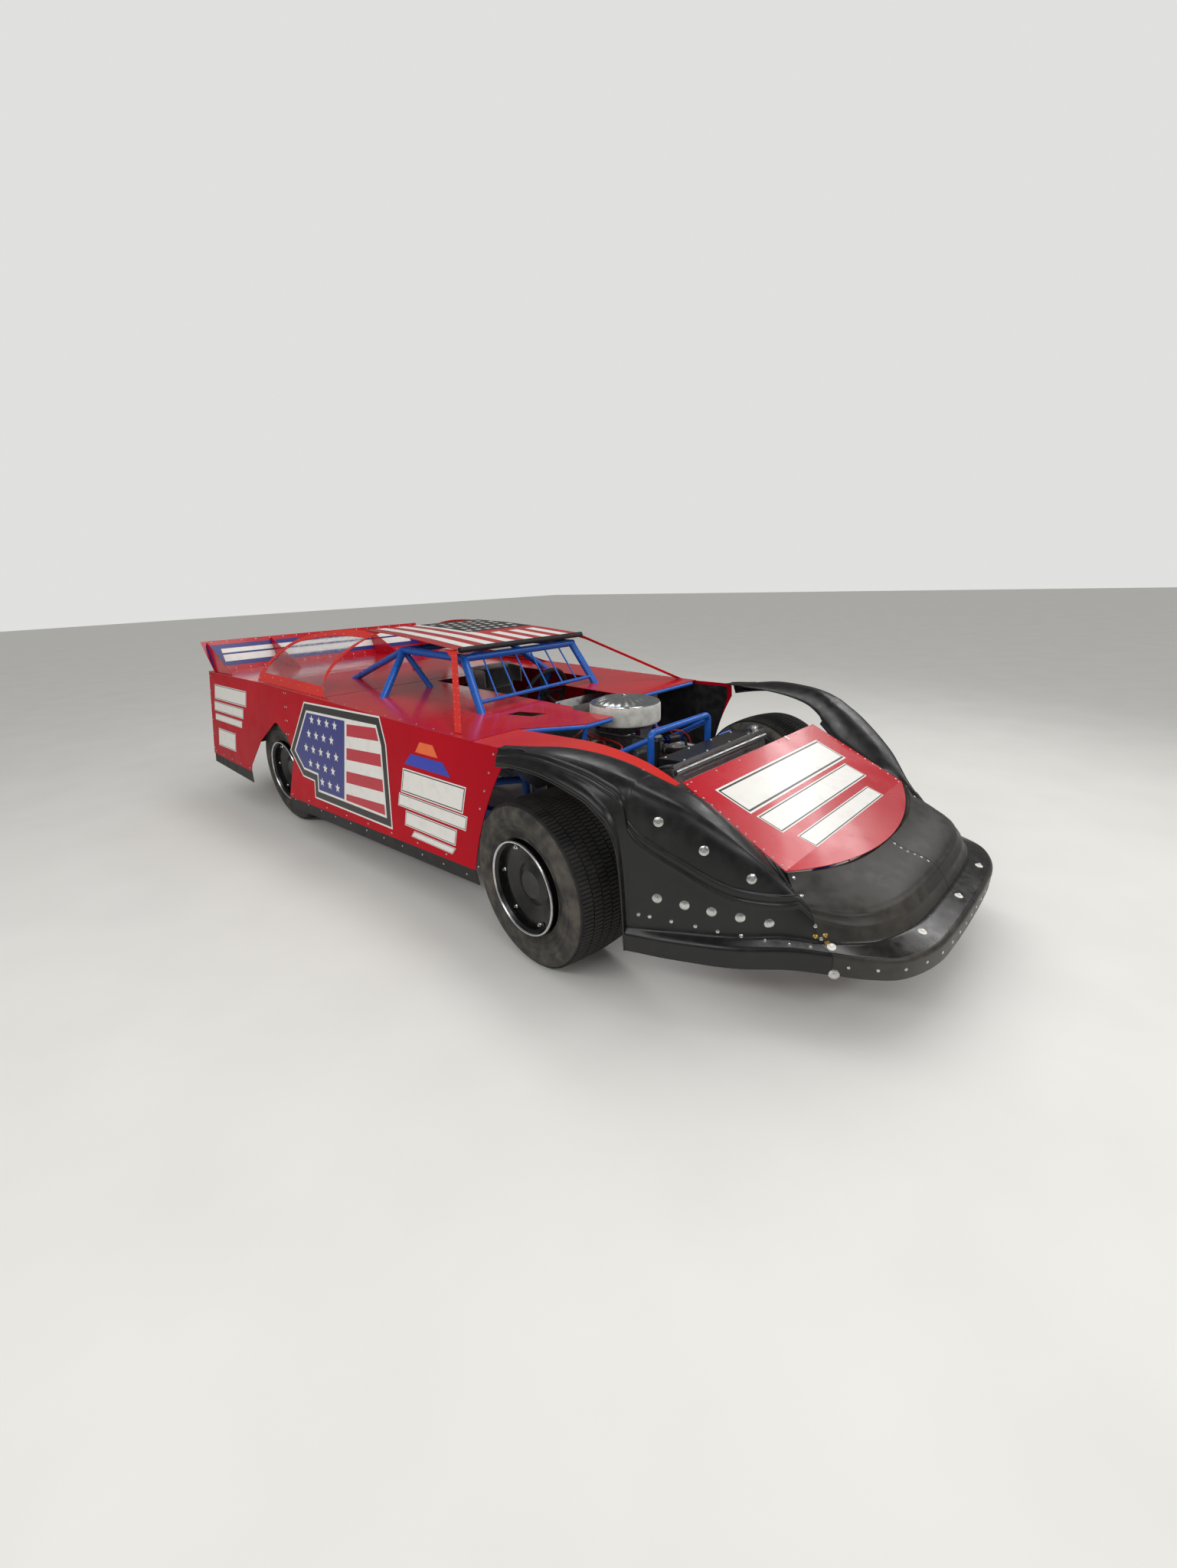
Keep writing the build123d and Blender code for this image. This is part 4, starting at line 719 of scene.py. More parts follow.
roofFlag = {
    "line": [(-0.115, 1.214), (0.240, 1.248), (0.580, 1.272), (0.897, 1.286)],
    "length": 1.012,
    "frontHalf": 0.497,
    "rearHalf": 0.458,
    "edge": 0.004,
    "stripes": 13,
    "stripeKnots": [-0.112, 0.24, 0.58, 0.894],
    "fieldKnots": [0.34, 0.58, 0.894],
    "stripesEnd": 0.14,  # past this, no stripes on the starred side
    "fieldRight": -0.06,
    "starGrid": (6, 5),
    "firstStar": (-0.01, 0.40),
    "starPitch": (0.078, 0.1),
    "starSize": 0.03,
    "starMargin": 0.04,
}


def onRoof(x, y, lift):
    return Vector((x, y, heightOn(roofFlag["line"], y) + lift))


def roofHalf(y):
    share = (y - roofFlag["line"][0][0]) / roofFlag["length"]
    return roofFlag["frontHalf"] + (roofFlag["rearHalf"] - roofFlag["frontHalf"]) * share


def makeRoofFlag():
    # Stripes from the front, then a black field of stars on the car's left half
    form = roofFlag
    bm = bmesh.new()
    count, edge, right = form["stripes"], form["edge"], form["fieldRight"]
    for i in range(1, count, 2):
        for y0, y1 in zip(form["stripeKnots"], form["stripeKnots"][1:]):
            half0, half1 = roofHalf(y0) - edge, roofHalf(y1) - edge
            a0, b0 = (half0 * (2 * k / count - 1) for k in (i, i + 1))
            a1, b1 = (half1 * (2 * k / count - 1) for k in (i, i + 1))
            if y0 < form["stripesEnd"] or a0 <= right:
                layPolygon(bm, [(a0, y0), (b0, y0), (b1, y1), (a1, y1)], onRoof, 0.0004, 1)
    for y0, y1 in zip(form["fieldKnots"], form["fieldKnots"][1:]):
        field = [(right, y0), (roofHalf(y0) - edge, y0), (roofHalf(y1) - edge, y1), (right, y1)]
        layPolygon(bm, field, onRoof, 0.0008, 0)
    for x, y in starSpots(form):
        if x < roofHalf(y) - form["starMargin"]:
            layPolygon(bm, starOutline(x, y, form["starSize"]), onRoof, 0.0012, 1)
    finishPiece("roofFlag", bm, [blackVinyl, whiteVinyl], "car")


spoilerFace = {
    "foot": (2.425, 0.9655),
    "head": (2.524, 1.193),
    "half": 0.93,
    "band": (0.16, 0.86),
    "bars": [(0.30, 0.52), (0.58, 0.72)],  # shares of the face's height
    "barInset": 0.1,
}


def onSpoiler(x, v, lift):
    (y0, z0), (y1, z1) = spoilerFace["foot"], spoilerFace["head"]
    along = Vector((0, y1 - y0, z1 - z0))
    normal = Vector((0, -(z1 - z0), y1 - y0)).normalized()
    return Vector((x, y0, z0)) + along * v + normal * lift


def makeSpoilerBand():
    bm = bmesh.new()
    half, bar = spoilerFace["half"], spoilerFace["half"] - spoilerFace["barInset"]
    low, high = spoilerFace["band"]
    layPolygon(bm, slantedBar(-half, low, 2 * half, high - low, 0), onSpoiler, 0.0004, 0)
    for low, high in spoilerFace["bars"]:
        layPolygon(bm, slantedBar(-bar, low, 2 * bar, high - low, 0), onSpoiler, 0.0008, 1)
    finishPiece("spoilerBand", bm, [navyVinyl, whiteVinyl], "car")


# Wheels

corners = ("front_right", "front_left", "rear_right", "rear_left")
tyreForm = {
    "halfWidth": 0.170,
    "radius": 0.364,
    "beadRadius": 0.2055,
    "beadHalf": 0.146,
    "widestRadius": 0.275,
    "shoulderHalf": 0.148,
    "treadDrop": 0.009,
    "treadFrom": 0.345,
    "wallRings": (2, 5),
    "ringRise": 0.0014,
    "steps": 96,
}


def wheelPlace(corner):
    # Turns local +X outboard along the wheel's axle, with the tyre's middle at the origin
    low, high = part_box(f"{corner}_tyre")
    axis = Vector(joints[f"{corner}_spin"]["axis"]).normalized()
    if "right" in corner:
        axis = -axis
    side = Vector((0, 0, 1)).cross(axis).normalized()
    turn = Matrix((axis, side, axis.cross(side))).transposed().to_4x4()
    return Matrix.Translation((low + high) / 2) @ turn


def finishOnWheel(name, bm, finishes, corner, smoothAngle=35):
    bmesh.ops.transform(bm, matrix=wheelPlace(corner), verts=bm.verts)
    end, side = corner.split("_")
    label = f"{end}{side.capitalize()}{name}"
    return finishPiece(label, bm, finishes, f"{corner}_wheel_set", smoothAngle)


def spinProfile(bm, points, steps):
    # Turns (along, radius) points about the X axis
    verts = [bm.verts.new((x, 0, r)) for x, r in points]
    edges = [bm.edges.new((a, b)) for a, b in zip(verts, verts[1:])]
    bmesh.ops.spin(bm, geom=verts + edges, cent=(0, 0, 0), axis=(1, 0, 0), angle=2 * math.pi,
                   steps=steps, use_merge=True)
    bmesh.ops.remove_doubles(bm, verts=bm.verts, dist=1e-6)


def tyreProfile(tread):
    form = tyreForm
    half, bead, shoulder = form["halfWidth"], form["beadHalf"], form["shoulderHalf"]
    low, mid, r = form["beadRadius"], form["widestRadius"], form["radius"]
    points = [(bead - 0.010, low - 0.006), (bead, low), (bead + 0.004, low + 0.006),
              (bead + 0.002, low + 0.010)]
    for i in range(1, 8):
        angle = i / 8
        x = bead + (half - bead) * math.sin(angle * math.pi / 2 * 1.05)
        z = low + 0.012 + (mid - low) * angle
        x = min(x, half)
        points.append((x, z))
        if i in form["wallRings"]:
            crest = x + form["ringRise"]
            points += [(crest, z + 0.0012), (crest, z + 0.0042), (x, z + 0.0054)]
    points += [(half, mid + 0.004), (half - 0.001, mid + 0.014), (half - 0.0035, mid + 0.016),
               (half - 0.003, mid + 0.026), (half - 0.004, mid + 0.040), (half - 0.009, mid + 0.058),
               (shoulder + 0.006, r - 0.020), (shoulder, r - form["treadDrop"] - tread)]
    across = []
    for i in range(1, 6):
        x = shoulder * (1 - i / 5)
        crown = form["treadDrop"] * (x / shoulder) ** 2
        across.append((x, r - crown - tread))
    outerHalf = points + across
    return outerHalf + [(-x, z) for x, z in reversed(outerHalf[:-1])]


def addTread(bm, rows, pitches, depth, gap):
    # Blocks standing on the carcass, each row half a pitch round from the last
    form = tyreForm
    around = 2 * math.pi / pitches
    for index, (centre, width) in enumerate(rows):
        crown = form["treadDrop"] * (centre / form["shoulderHalf"]) ** 2
        outer = form["radius"] - crown
        tilt = 2 * form["treadDrop"] * centre / form["shoulderHalf"] ** 2
        length = around * outer - gap
        for i in range(pitches):
            angle = (i + 0.5 * (index % 2)) * around
            turn, lean = Matrix.Rotation(angle, 4, "X"), Matrix.Rotation(tilt, 4, "Y")
            rise = Matrix.Translation((centre, 0, outer - depth / 2 - 0.0005))
            addBox(bm, turn @ rise @ lean, (width, length, depth))


treads = {  # rows of blocks as (centre, width) along the axle
    "front": {
        "depth": 0.007, "gap": 0.0042, "pitches": 128,
        "rows": [(-0.122, 0.048), (-0.068, 0.050), (-0.016, 0.044), (0.030, 0.040), (0.0745, 0.042),
                 (0.122, 0.046)],
    },
    "rear": {
        "depth": 0.009, "gap": 0.009, "pitches": 46,
        "rows": [(-0.120, 0.046), (-0.072, 0.038), (-0.024, 0.038), (0.024, 0.038), (0.072, 0.038),
                 (0.120, 0.046)],
    },
}


def makeTyres():
    for corner in corners:
        tread = treads[corner.split("_")[0]]
        bm = bmesh.new()
        spinProfile(bm, tyreProfile(tread["depth"]), tyreForm["steps"])
        for face in bm.faces:
            face.material_index = 0 if face.calc_center_median().yz.length > tyreForm["treadFrom"] else 1
        addTread(bm, tread["rows"], tread["pitches"], tread["depth"], tread["gap"])
        piece = finishOnWheel("Tyre", bm, [treadRubber, wallRubber], corner, 40)
        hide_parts(f"{corner}_tyre")


rimRing = {
    "outerRadius": 0.2045,
    "offset": 0.178,
    "coverBolts": 6,
    "coverRadius": 0.168,
    "coverDepth": 0.037,  # the mud cover's face lies this far inside the ring
    "firstBolt": 0.4,
}


def makeRimRings():
    # Polished bead ring and the mud cover's bolts on each wheel
    outer, face = rimRing["outerRadius"], rimRing["offset"]
    for corner in corners:
        bm = bmesh.new()
        profile = [(face - 0.010, outer - 0.001), (face - 0.002, outer + 0.0005),
                   (face + 0.001, outer - 0.002), (face + 0.001, outer - 0.007),
                   (face - 0.003, outer - 0.010), (face - 0.010, outer - 0.009)]
        profile.append(profile[0])
        spinProfile(bm, profile, 96)
        for i in range(rimRing["coverBolts"]):
            turn = Matrix.Rotation(i * 2 * math.pi / rimRing["coverBolts"] + rimRing["firstBolt"], 4, "X")
            spot = turn @ Matrix.Translation((face - rimRing["coverDepth"], 0, rimRing["coverRadius"]))
            place = spot @ Matrix.Rotation(math.pi / 2, 4, "Y")
            addCone(bm, place, 0.011, 0.009, 0, 0.003, 14)
            addCone(bm, place, 0.0065, 0.006, 0.003, 0.006, 6)
        finishOnWheel("RimRing", bm, [rimAluminium], corner)


# Moulded nose and fenders, through the frame's stations but finer and with rounded edges.
# A station runs from the hood's edge outwards, in mm: inner x, distance ahead of the front axle, inner z;
# outer x, distance ahead; crest share of the run, crest z; foot share of the run, foot z; low z of the lip;
# then the share of the wall where its double bead runs, and how square the wall's shoulder is.
noseStations = [
    (1.3, 1032, 502, 1.3, 1365, 0.40, 462, 0.70, 346, 246, 0.05, 0.0),
    (170, 1027, 504, 210, 1362, 0.40, 464, 0.70, 346, 246, 0.05, 0.0),
    (330, 1007, 512, 400, 1346, 0.40, 466, 0.70, 346, 246, 0.05, 0.0),
    (480, 964, 527, 555, 1286, 0.39, 468, 0.70, 345, 246, 0.05, 0.0),
    (572, 922, 540, 636, 1192, 0.37, 470, 0.69, 344, 246, 0.07, 0.0),
    (634, 885, 549, 684, 1090, 0.34, 474, 0.68, 343, 246, 0.14, 0.1),
]
wallStations = [
    (636.0, 884.6, 549, 686.2, 1089.4, 0.34, 474, 0.68, 343, 246, 0.14, 0.1),
    (630, 820, 579, 750, 965, 0.40, 552, 0.72, 345, 245, 0.56, 0.25),
    (621.4, 715, 634.4, 862, 810, 0.48, 672, 0.82, 344, 243, 0.72, 0.5),
    (611, 570, 710.5, 950, 610, 0.54, 794, 0.89, 340, 240, 0.70, 0.8),
    (676, 470, 765, 990, 490, 0.50, 850, 0.92, 336, 238, 0.66, 0.95),
    (700, 423, 792, 1005, 440, 0.50, 872, 0.93, 334, 236, 0.61, 1.0),
]
archStations = [
    (722, 395, 814, 1012, 415, 0.50, 888, 0.93, 700, 640, 0.62, 0.5),
    (752, 315, 855, 1030, 325, 0.50, 918, 0.93, 820, 778, 0.65, 0.1),
    (774, 195, 884, 1035, 195, 0.50, 934, 0.93, 866, 830, 0.66, 0.0),
    (806, 45, 897, 1030, 45, 0.50, 936, 0.93, 886, 856, 0.66, 0.0),
    (850, -135, 899, 1010, -115, 0.46, 913, 0.93, 876, 851, 0.62, 0.0),
    (902, -283, 895.4, 985, -255, 0.45, 896, 0.93, 848, 828, 0.6, 0.0),
]
mouldForm = {
    "frontAxleY": -1.245,
    "thickness": 0.005,
    "steps": 9,
    "crestRadius": 0.045,
    "footRadius": 0.016,
    "edgeRadius": 0.009,
    "tuck": 0.028,  # runs in under the hood, as far back as tuckFrom mm ahead of the axle
    "tuckFrom": 430,
    "crown": 1.12,
    "wallRound": 0.55,
    "squareOut": 0.55,
    "squareFall": 0.9,
    "ledgeDrop": 0.16,  # share of the height from the foot to the low edge
    "ledgeReach": 0.965,  # shares of the run
    "lipReach": 0.99,
    "lipFold": 0.014,
    "hoodEdge": [(419, 603.3), (877, 628.3)],  # mm ahead of the axle, x
    "noseBead": (0.0016, 0.020, 0.009),  # height, half spacing and half width of the two beads
    "wallBead": (0.0056, 0.0120, 0.0052),
    "archBead": (0.0060, 0.0110, 0.0050),
}


def smoothRows(rows, steps):
    # Catmull and Rom's run through the rows
    padded = [rows[0], *rows, rows[-1]]
    result = []
    for a, b, c, d in zip(padded, padded[1:], padded[2:], padded[3:]):
        for i in range(steps):
            t = i / steps
            row = []
            for p, q, r, n in zip(a, b, c, d):
                slopeIn, slopeOut = (r - p) / 2, (n - q) / 2
                lift = 3 * (r - q) - 2 * slopeIn - slopeOut
                twist = 2 * (q - r) + slopeIn + slopeOut
                row.append(q + t * (slopeIn + t * (lift + t * twist)))
            result.append(tuple(row))
    return result + [rows[-1]]


def bend(points, before, corner, after, steps=5):
    for i in range(steps + 1):
        t = i / steps
        points.append(before * (1 - t) ** 2 + corner * 2 * t * (1 - t) + after * t ** 2)


def towards(start, end, distance):
    run = end - start
    return start + run * min(distance / max(run.length, 1e-6), 0.4)


def spread(low, high, count):
    return [low + (high - low) * i / count for i in range(count)]


def mouldProfile(run, row, bead, tuck):
    # Tuck, top, crest, wall with its double bead, ledge and lip as (distance, z) points
    _, _, innerZ, _, _, crestShare, crestZ, footShare, footZ, lowZ, beadShare, square = row
    innerZ, crestZ, footZ, lowZ = (v / 1000 for v in (innerZ, crestZ, footZ, lowZ))
    crest, foot = crestShare * run, footShare * run
    drop, crown, rounding = crestZ - footZ, mouldForm["crown"], mouldForm["wallRound"]
    wallLength = math.hypot(foot - crest, drop)
    round1 = min(mouldForm["crestRadius"], 0.4 * crest, 0.3 * wallLength)
    points = [Vector((-tuck, innerZ - 0.003 - 0.3 * tuck)), Vector((-0.0005, innerZ - 0.0015))]
    for i in range(9):
        t = (1 - round1 / crest) * i / 8
        points.append(Vector((crest * t, innerZ + (crestZ - innerZ) * ((1 + crown) * t - crown * t * t))))
    height, half, width = bead
    first, last = round1 / wallLength, 1 - min(mouldForm["footRadius"], 0.2 * wallLength) / wallLength
    reach = (half + 2.4 * width) / wallLength
    middle = min(max(beadShare, first + reach + 0.01), last - reach - 0.01)
    shares = spread(first, middle - reach, 9) + spread(middle - reach, middle + reach, 22)
    shares += spread(middle + reach, last, 11) + [last]

    def onWall(share):
        turn = share * math.pi / 2
        out = (1 - rounding) * share + rounding * math.sin(turn)
        fall = (1 - rounding) * share + rounding * (1 - math.cos(turn))
        out **= 1 - mouldForm["squareOut"] * square
        fall **= 1 + mouldForm["squareFall"] * square
        return Vector((crest + (foot - crest) * out, crestZ - drop * fall))

    wall = []
    for share in shares:
        slope = (onWall(share + 0.01) - onWall(max(share - 0.01, 0.0))).normalized()
        push = 0.0
        for side in (-1, 1):
            away = ((share - middle) * wallLength - side * half) / width
            push += height * math.exp(-away * away)
        wall.append(onWall(share) + Vector((-slope.y, slope.x)) * push)
    bend(points, points.pop(), Vector((crest, crestZ)), wall[0], 7)
    points += wall[1:-1]
    ledgeZ = footZ - mouldForm["ledgeDrop"] * (footZ - lowZ)
    corner, edge = Vector((foot, footZ)), Vector((mouldForm["ledgeReach"] * run, ledgeZ))
    under, low = Vector((run, ledgeZ - mouldForm["lipFold"])), Vector((mouldForm["lipReach"] * run, lowZ))
    round2 = mouldForm["edgeRadius"]
    bend(points, wall[-1], corner, towards(corner, edge, mouldForm["footRadius"]))
    ledgeFrom = len(points) - 4
    bend(points, towards(edge, corner, round2), edge, towards(edge, under, round2))
    ledgeTo = len(points) - 4
    bend(points, towards(under, edge, round2), under, towards(under, low, round2))
    points.append(under.lerp(low, 0.75))
    points.append(low)
    return points, (ledgeFrom, ledgeTo)


def mouldRing(row, bead, tuck=0.001):
    # The closed loop of one station: the outer face, then the inner one set back by the thickness
    x0, ahead0, _, x1, ahead1 = row[:5]
    start = Vector((x0, mouldForm["frontAxleY"] * 1000 - ahead0)) / 1000
    end = Vector((x1, mouldForm["frontAxleY"] * 1000 - ahead1)) / 1000
    run = (end - start).length
    along = (end - start) / run
    profile, ledge = mouldProfile(run, row, bead, tuck)
    inner = []
    for i, point in enumerate(profile):
        ahead = profile[min(i + 1, len(profile) - 1)] - profile[max(i - 1, 0)]
        ahead.normalize()
        inner.append(point + Vector((ahead.y, -ahead.x)) * mouldForm["thickness"])
    loop = profile + inner[::-1]
    return [(start.x + along.x * s, start.y + along.y * s, z) for s, z in loop], ledge


def clearOfHood(row):
    # Keeps a fender station's inner end outside the hood's sloping edge
    (rear, x0), (front, x1) = mouldForm["hoodEdge"]
    share = (row[1] - rear) / (front - rear)
    if not 0 <= share <= 1:
        return row
    return (max(row[0], x0 + share * (x1 - x0)), *row[1:])


def mixedBead(first, second, share):
    return tuple(a + (b - a) * share for a, b in zip(first, second))


def skinRings(bm, rings, ledge, ledgeMaterial):
    # Bridges the stations' loops and closes both ends
    made = [[bm.verts.new(p) for p in ring] for ring in rings]
    count = len(made[0])
    for low, high in zip(made, made[1:]):
        for i in range(count):
            j = (i + 1) % count
            face = bm.faces.new((low[i], low[j], high[j], high[i]))
            face.material_index = ledgeMaterial if ledge[0] <= i < ledge[1] else 0
    for ring in (made[0], made[-1]):
        for i in range(count // 2 - 1):
            bm.faces.new((ring[i], ring[i + 1], ring[count - 2 - i], ring[count - 1 - i]))


def finishMoulded(name, bm, finishes, node, side):
    # Stations are drawn on the car's left; its right is their mirror
    if side < 0:
        bmesh.ops.transform(bm, matrix=Matrix.Scale(-1, 4, (1, 0, 0)), verts=bm.verts)
    bmesh.ops.recalc_face_normals(bm, faces=bm.faces)
    bmesh.ops.triangulate(bm, faces=[f for f in bm.faces if len(f.verts) > 3])
    moulded.setdefault(node, []).append(BVHTree.FromBMesh(bm))
    return finishPiece(name, bm, finishes, "car", 50)


def makeNoseHalves():
    for side, label in ((-1, "right"), (1, "left")):
        rows = smoothRows(noseStations, mouldForm["steps"])
        rings = []
        for i, row in enumerate(rows):
            share = max(0.0, (i / (len(rows) - 1) - 0.55) / 0.45)
            bead = mixedBead(mouldForm["noseBead"], mouldForm["wallBead"], share * 0.6)
            ring, ledge = mouldRing(row, bead, mouldForm["tuck"])
            rings.append(ring)
        bm = bmesh.new()
        skinRings(bm, rings, ledge, 1)
        piece = finishMoulded(f"{label}NoseHalf", bm, [nosePlastic, rubStrip], "nose_covers", side)
        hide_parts("nose_covers")


def makeFenders():
    for side, label in ((-1, "right"), (1, "left")):
        rings = []
        rows = smoothRows(wallStations, mouldForm["steps"])[:-1]
        for i, row in enumerate(rows):
            share = i / (len(rows) - 1)
            bead = mixedBead(mouldForm["noseBead"], mouldForm["wallBead"], min(1.0, 0.6 + share))
            tuck = mouldForm["tuck"] if row[1] > mouldForm["tuckFrom"] else 0.001
            ring, ledge = mouldRing(clearOfHood(row), bead, tuck)
            rings.append(ring)
        rows = smoothRows([wallStations[-1], *archStations], mouldForm["steps"])
        for i, row in enumerate(rows):
            bead = mixedBead(mouldForm["wallBead"], mouldForm["archBead"], min(1.0, i / 12))
            rings.append(mouldRing(row, bead)[0])
        bm = bmesh.new()
        skinRings(bm, rings, ledge, 0)
        lips = [ring[len(ring) // 2 - 1] for ring in rings]
        addTube(bm, [Vector(p) for p in lips[len(lips) - len(rows):]], 0.0045, 10)
        piece = finishMoulded(f"{label}FrontFender", bm, [fenderPlastic], f"{label}_front_fender", side)
        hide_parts(f"{label}_front_fender")


# Rivets and bolts

rivetForm = {"radius": 0.0055, "height": 0.0022, "segments": 10}


def addRivet(bm, spot, normal, scale=1.0, material=0):
    place, segments = facing(spot, normal), rivetForm["segments"]
    radius, height = rivetForm["radius"] * scale, rivetForm["height"] * scale
    addCone(bm, place, radius, radius * 0.8, -0.0004, height * 0.6 + 0.0004, segments, material)
    addCone(bm, place, radius * 0.8, radius * 0.3, height * 0.6, height * 0.4, segments, material)


def rivetWhereHit(bm, node, start, direction, scale):
    found = hitAlong(node, start, direction)
    if found:
        addRivet(bm, *found, scale)


def addWasherBolt(bm, spot, normal, radius, material=0):
    place = facing(spot, normal)
    addCone(bm, place, radius, radius * 0.93, -0.001, 0.0025, 24, material)
    addCone(bm, place, radius * 0.93, radius * 0.5, 0.0015, 0.0035, 24, material)
    addCone(bm, place, radius * 0.38, radius * 0.36, 0.005, 0.004, 12, material)


fenderBolts = {  # points on the lines of sight to the bolts
    "large": [(-0.85, -1.73, 0.714), (-0.78, -1.88, 0.617), (-0.70, -2.03, 0.52),
              (-0.95, -1.797, 0.47), (-0.90, -1.88, 0.45), (-0.85, -1.96, 0.43), (-0.80, -2.045, 0.415),
              (-0.75, -2.13, 0.40)],
    "small": [(-0.985, -1.74, 0.40), (-0.965, -1.775, 0.395), (-0.93, -1.845, 0.385), (-0.89, -1.92, 0.375),
              (-0.855, -1.99, 0.365), (-0.815, -2.06, 0.355), (-0.775, -2.13, 0.345), (-0.735, -2.20, 0.34),
              (-0.70, -2.26, 0.335)],
}
noseRows = {
    "joint": [(-0.640, -2.15, 0.535), (-0.648, -2.185, 0.48), (-0.652, -2.215, 0.43), (-0.655, -2.245, 0.385),
              (-0.657, -2.27, 0.345)],
    "lipTop": [(-0.34, -2.515, 0.32), (0.0, -2.55, 0.33), (0.36, -2.545, 0.32), (-0.655, -2.315, 0.335)],
    "lipLarge": [(-0.68, -2.34, 0.25)],
    "brass": [(-0.668, -2.262, 0.36), (-0.640, -2.285, 0.36), (-0.655, -2.30, 0.345)],
    "lipCount": 22,
    "lipCentre": (0, -1.9),
    "lipReach": 1.1,
    "lipSweep": 144,
    "lipZ": 0.285,
    "seam": ((-0.014, -2.30, 1.0), (-0.014, -2.43, 1.0)),
    "seamCount": 6,
}


def makeFenderBolts():
    bm = {side: bmesh.new() for side in ("right", "left")}
    for group, points in fenderBolts.items():
        for point in points:
            found = hitFromCamera("right_front_fender", point)
            for mesh, (spot, normal) in zip(bm.values(), bothSides(found)):
                if group == "large":
                    addWasherBolt(mesh, spot, normal, 0.019)
                else:
                    addRivet(mesh, spot, normal, 1.5)
    for side, mesh in bm.items():
        finishPiece(f"{side}FenderBolts", mesh, [zincPlate], "car")


def makeNoseBolts():
    # Joint rivets and lip bolts found along the camera's view, then rivets round the lip and on the seam
    form = noseRows
    bm = bmesh.new()
    for point in form["joint"]:
        found = hitFromCamera("nose_covers", Vector(point) + Vector((0.012, -0.004, 0)))
        if found:
            for spot, normal in bothSides(found):
                addRivet(bm, spot, normal, 1.5)
    for point in form["lipTop"]:
        found = hitFromCamera("nose_covers", point)
        if found:
            addWasherBolt(bm, *found, 0.016, 1)
    for group, radius, material in (("lipLarge", 0.020, 0), ("brass", 0.010, 2)):
        for point in form[group]:
            found = hitFromCamera("nose_covers", point) or hitFromCamera("right_front_fender", point)
            if found:
                for spot, normal in bothSides(found):
                    addWasherBolt(bm, spot, normal, radius, material)
    middleX, middleY = form["lipCentre"]
    for i in range(form["lipCount"]):
        angle = math.radians(((i + 0.5) / form["lipCount"] - 0.5) * form["lipSweep"])
        away = Vector((math.sin(angle), -math.cos(angle), 0)) * form["lipReach"]
        start = Vector((middleX, middleY, form["lipZ"])) + away
        rivetWhereHit(bm, "nose_covers", start, Vector((0, -2.0, form["lipZ"])) - start, 1.2)
    for point in evenly(*form["seam"], form["seamCount"]):
        rivetWhereHit(bm, "nose_covers", point, (0, 0, -1), 1.2)
    finishPiece("noseBolts", bm, [zincPlate, whiteVinyl, brassPlate], "car")


hoodRows = {
    "sides": [(0.590, -1.68), (0.612, -2.10), 12],
    "front": [(-0.60, -2.119), (-0.5, -2.162), (-0.4, -2.197), (-0.3, -2.224), (-0.2, -2.243), (-0.1, -2.254),
              (0, -2.258)],
    "rear": [(-0.56, -1.678), (0.56, -1.678), 7],
}


def makeHoodRivets():
    bm = bmesh.new()
    normal = (onHood(0, -1.8, 1) - onHood(0, -1.8, 0)).normalized()
    spots = []
    (rearX, rearY), (frontX, frontY), count = hoodRows["sides"]
    for side in (-1, 1):
        spots += evenly(onHood(side * rearX, rearY, 0), onHood(side * frontX, frontY, 0), count)
    for x, y in hoodRows["front"]:
        spots += [onHood(x, y, 0), onHood(-x, y, 0)]
    start, end, count = hoodRows["rear"]
    spots += evenly(onHood(*start, 0), onHood(*end, 0), count)
    for spot in spots:
        addRivet(bm, spot, normal, 0.9)
    finishPiece("hoodRivets", bm, [zincPlate], "car")


stripWashers = {  # points on the lines of sight to the pale washers
    "right_hood_rail": [(-0.41, -1.319, 0.72), (-0.356, -1.317, 0.75), (-0.33, -1.345, 0.73),
                        (-0.42, -1.31, 0.8), (-0.388, -1.424, 0.66)],
    "hood_nosepiece": [(0.256, -1.687, 0.785), (-0.116, -1.653, 0.785)],
}


def makeStripWashers():
    # Pale oval washers on the strip over the fender and along the hood's rear edge
    bm = bmesh.new()
    for node, points in stripWashers.items():
        for point in points:
            found = hitFromCamera(node, point)
            if found:
                place = facing(*found)
                oval = place @ Matrix.Diagonal((1.0, 1.9, 1.0, 1.0))
                addCone(bm, oval, 0.0085, 0.0075, -0.0005, 0.0035, 20)
                addCone(bm, place, 0.0045, 0.0035, 0.003, 0.0025, 10)
    finishPiece("stripWashers", bm, [whiteVinyl], "car")


tailRows = {
    "xs": [-0.88 + i * 0.11 for i in range(17)],
    "panelZ": (0.56, 0.90),
    "spoilerShares": (0.06, 0.95),
    "bumperXs": [0.08 + i * 0.095 for i in range(9)],
    "bumperZ": 0.44,
}


def makeTailTrim():
    # Rivets on the tail panel and the bumper cover, and along the spoiler's foot and head
    bm = bmesh.new()
    for x in tailRows["xs"]:
        for z in tailRows["panelZ"]:
            rivetWhereHit(bm, "tail_panel", (x, 3.0, z), (0, -1, 0), 0.9)
        for share in tailRows["spoilerShares"]:
            spot = onSpoiler(x, share, 0.0)
            addRivet(bm, spot, onSpoiler(x, share, 1.0) - spot, 0.9)
    for side in (-1, 1):
        for x in tailRows["bumperXs"]:
            rivetWhereHit(bm, "rear_bumper_cover", (side * x, 3.0, tailRows["bumperZ"]), (0, -1, 0), 1.2)
    finishPiece("tailRivets", bm, [zincPlate], "car")


bodyRows = [  # rows on the side plane: (y, z) of both ends, rivets
    ((-0.83, 0.325), (1.15, 0.262), 9),
    ((-0.84, 0.60), (-0.93, 0.86), 4),
    ((1.150, 0.66), (1.150, 0.925), 4),
    ((1.178, 0.66), (1.178, 0.925), 4),
    ((1.87, 0.315), (2.57, 0.335), 5),
    ((2.585, 0.36), (2.55, 0.93), 6),
]


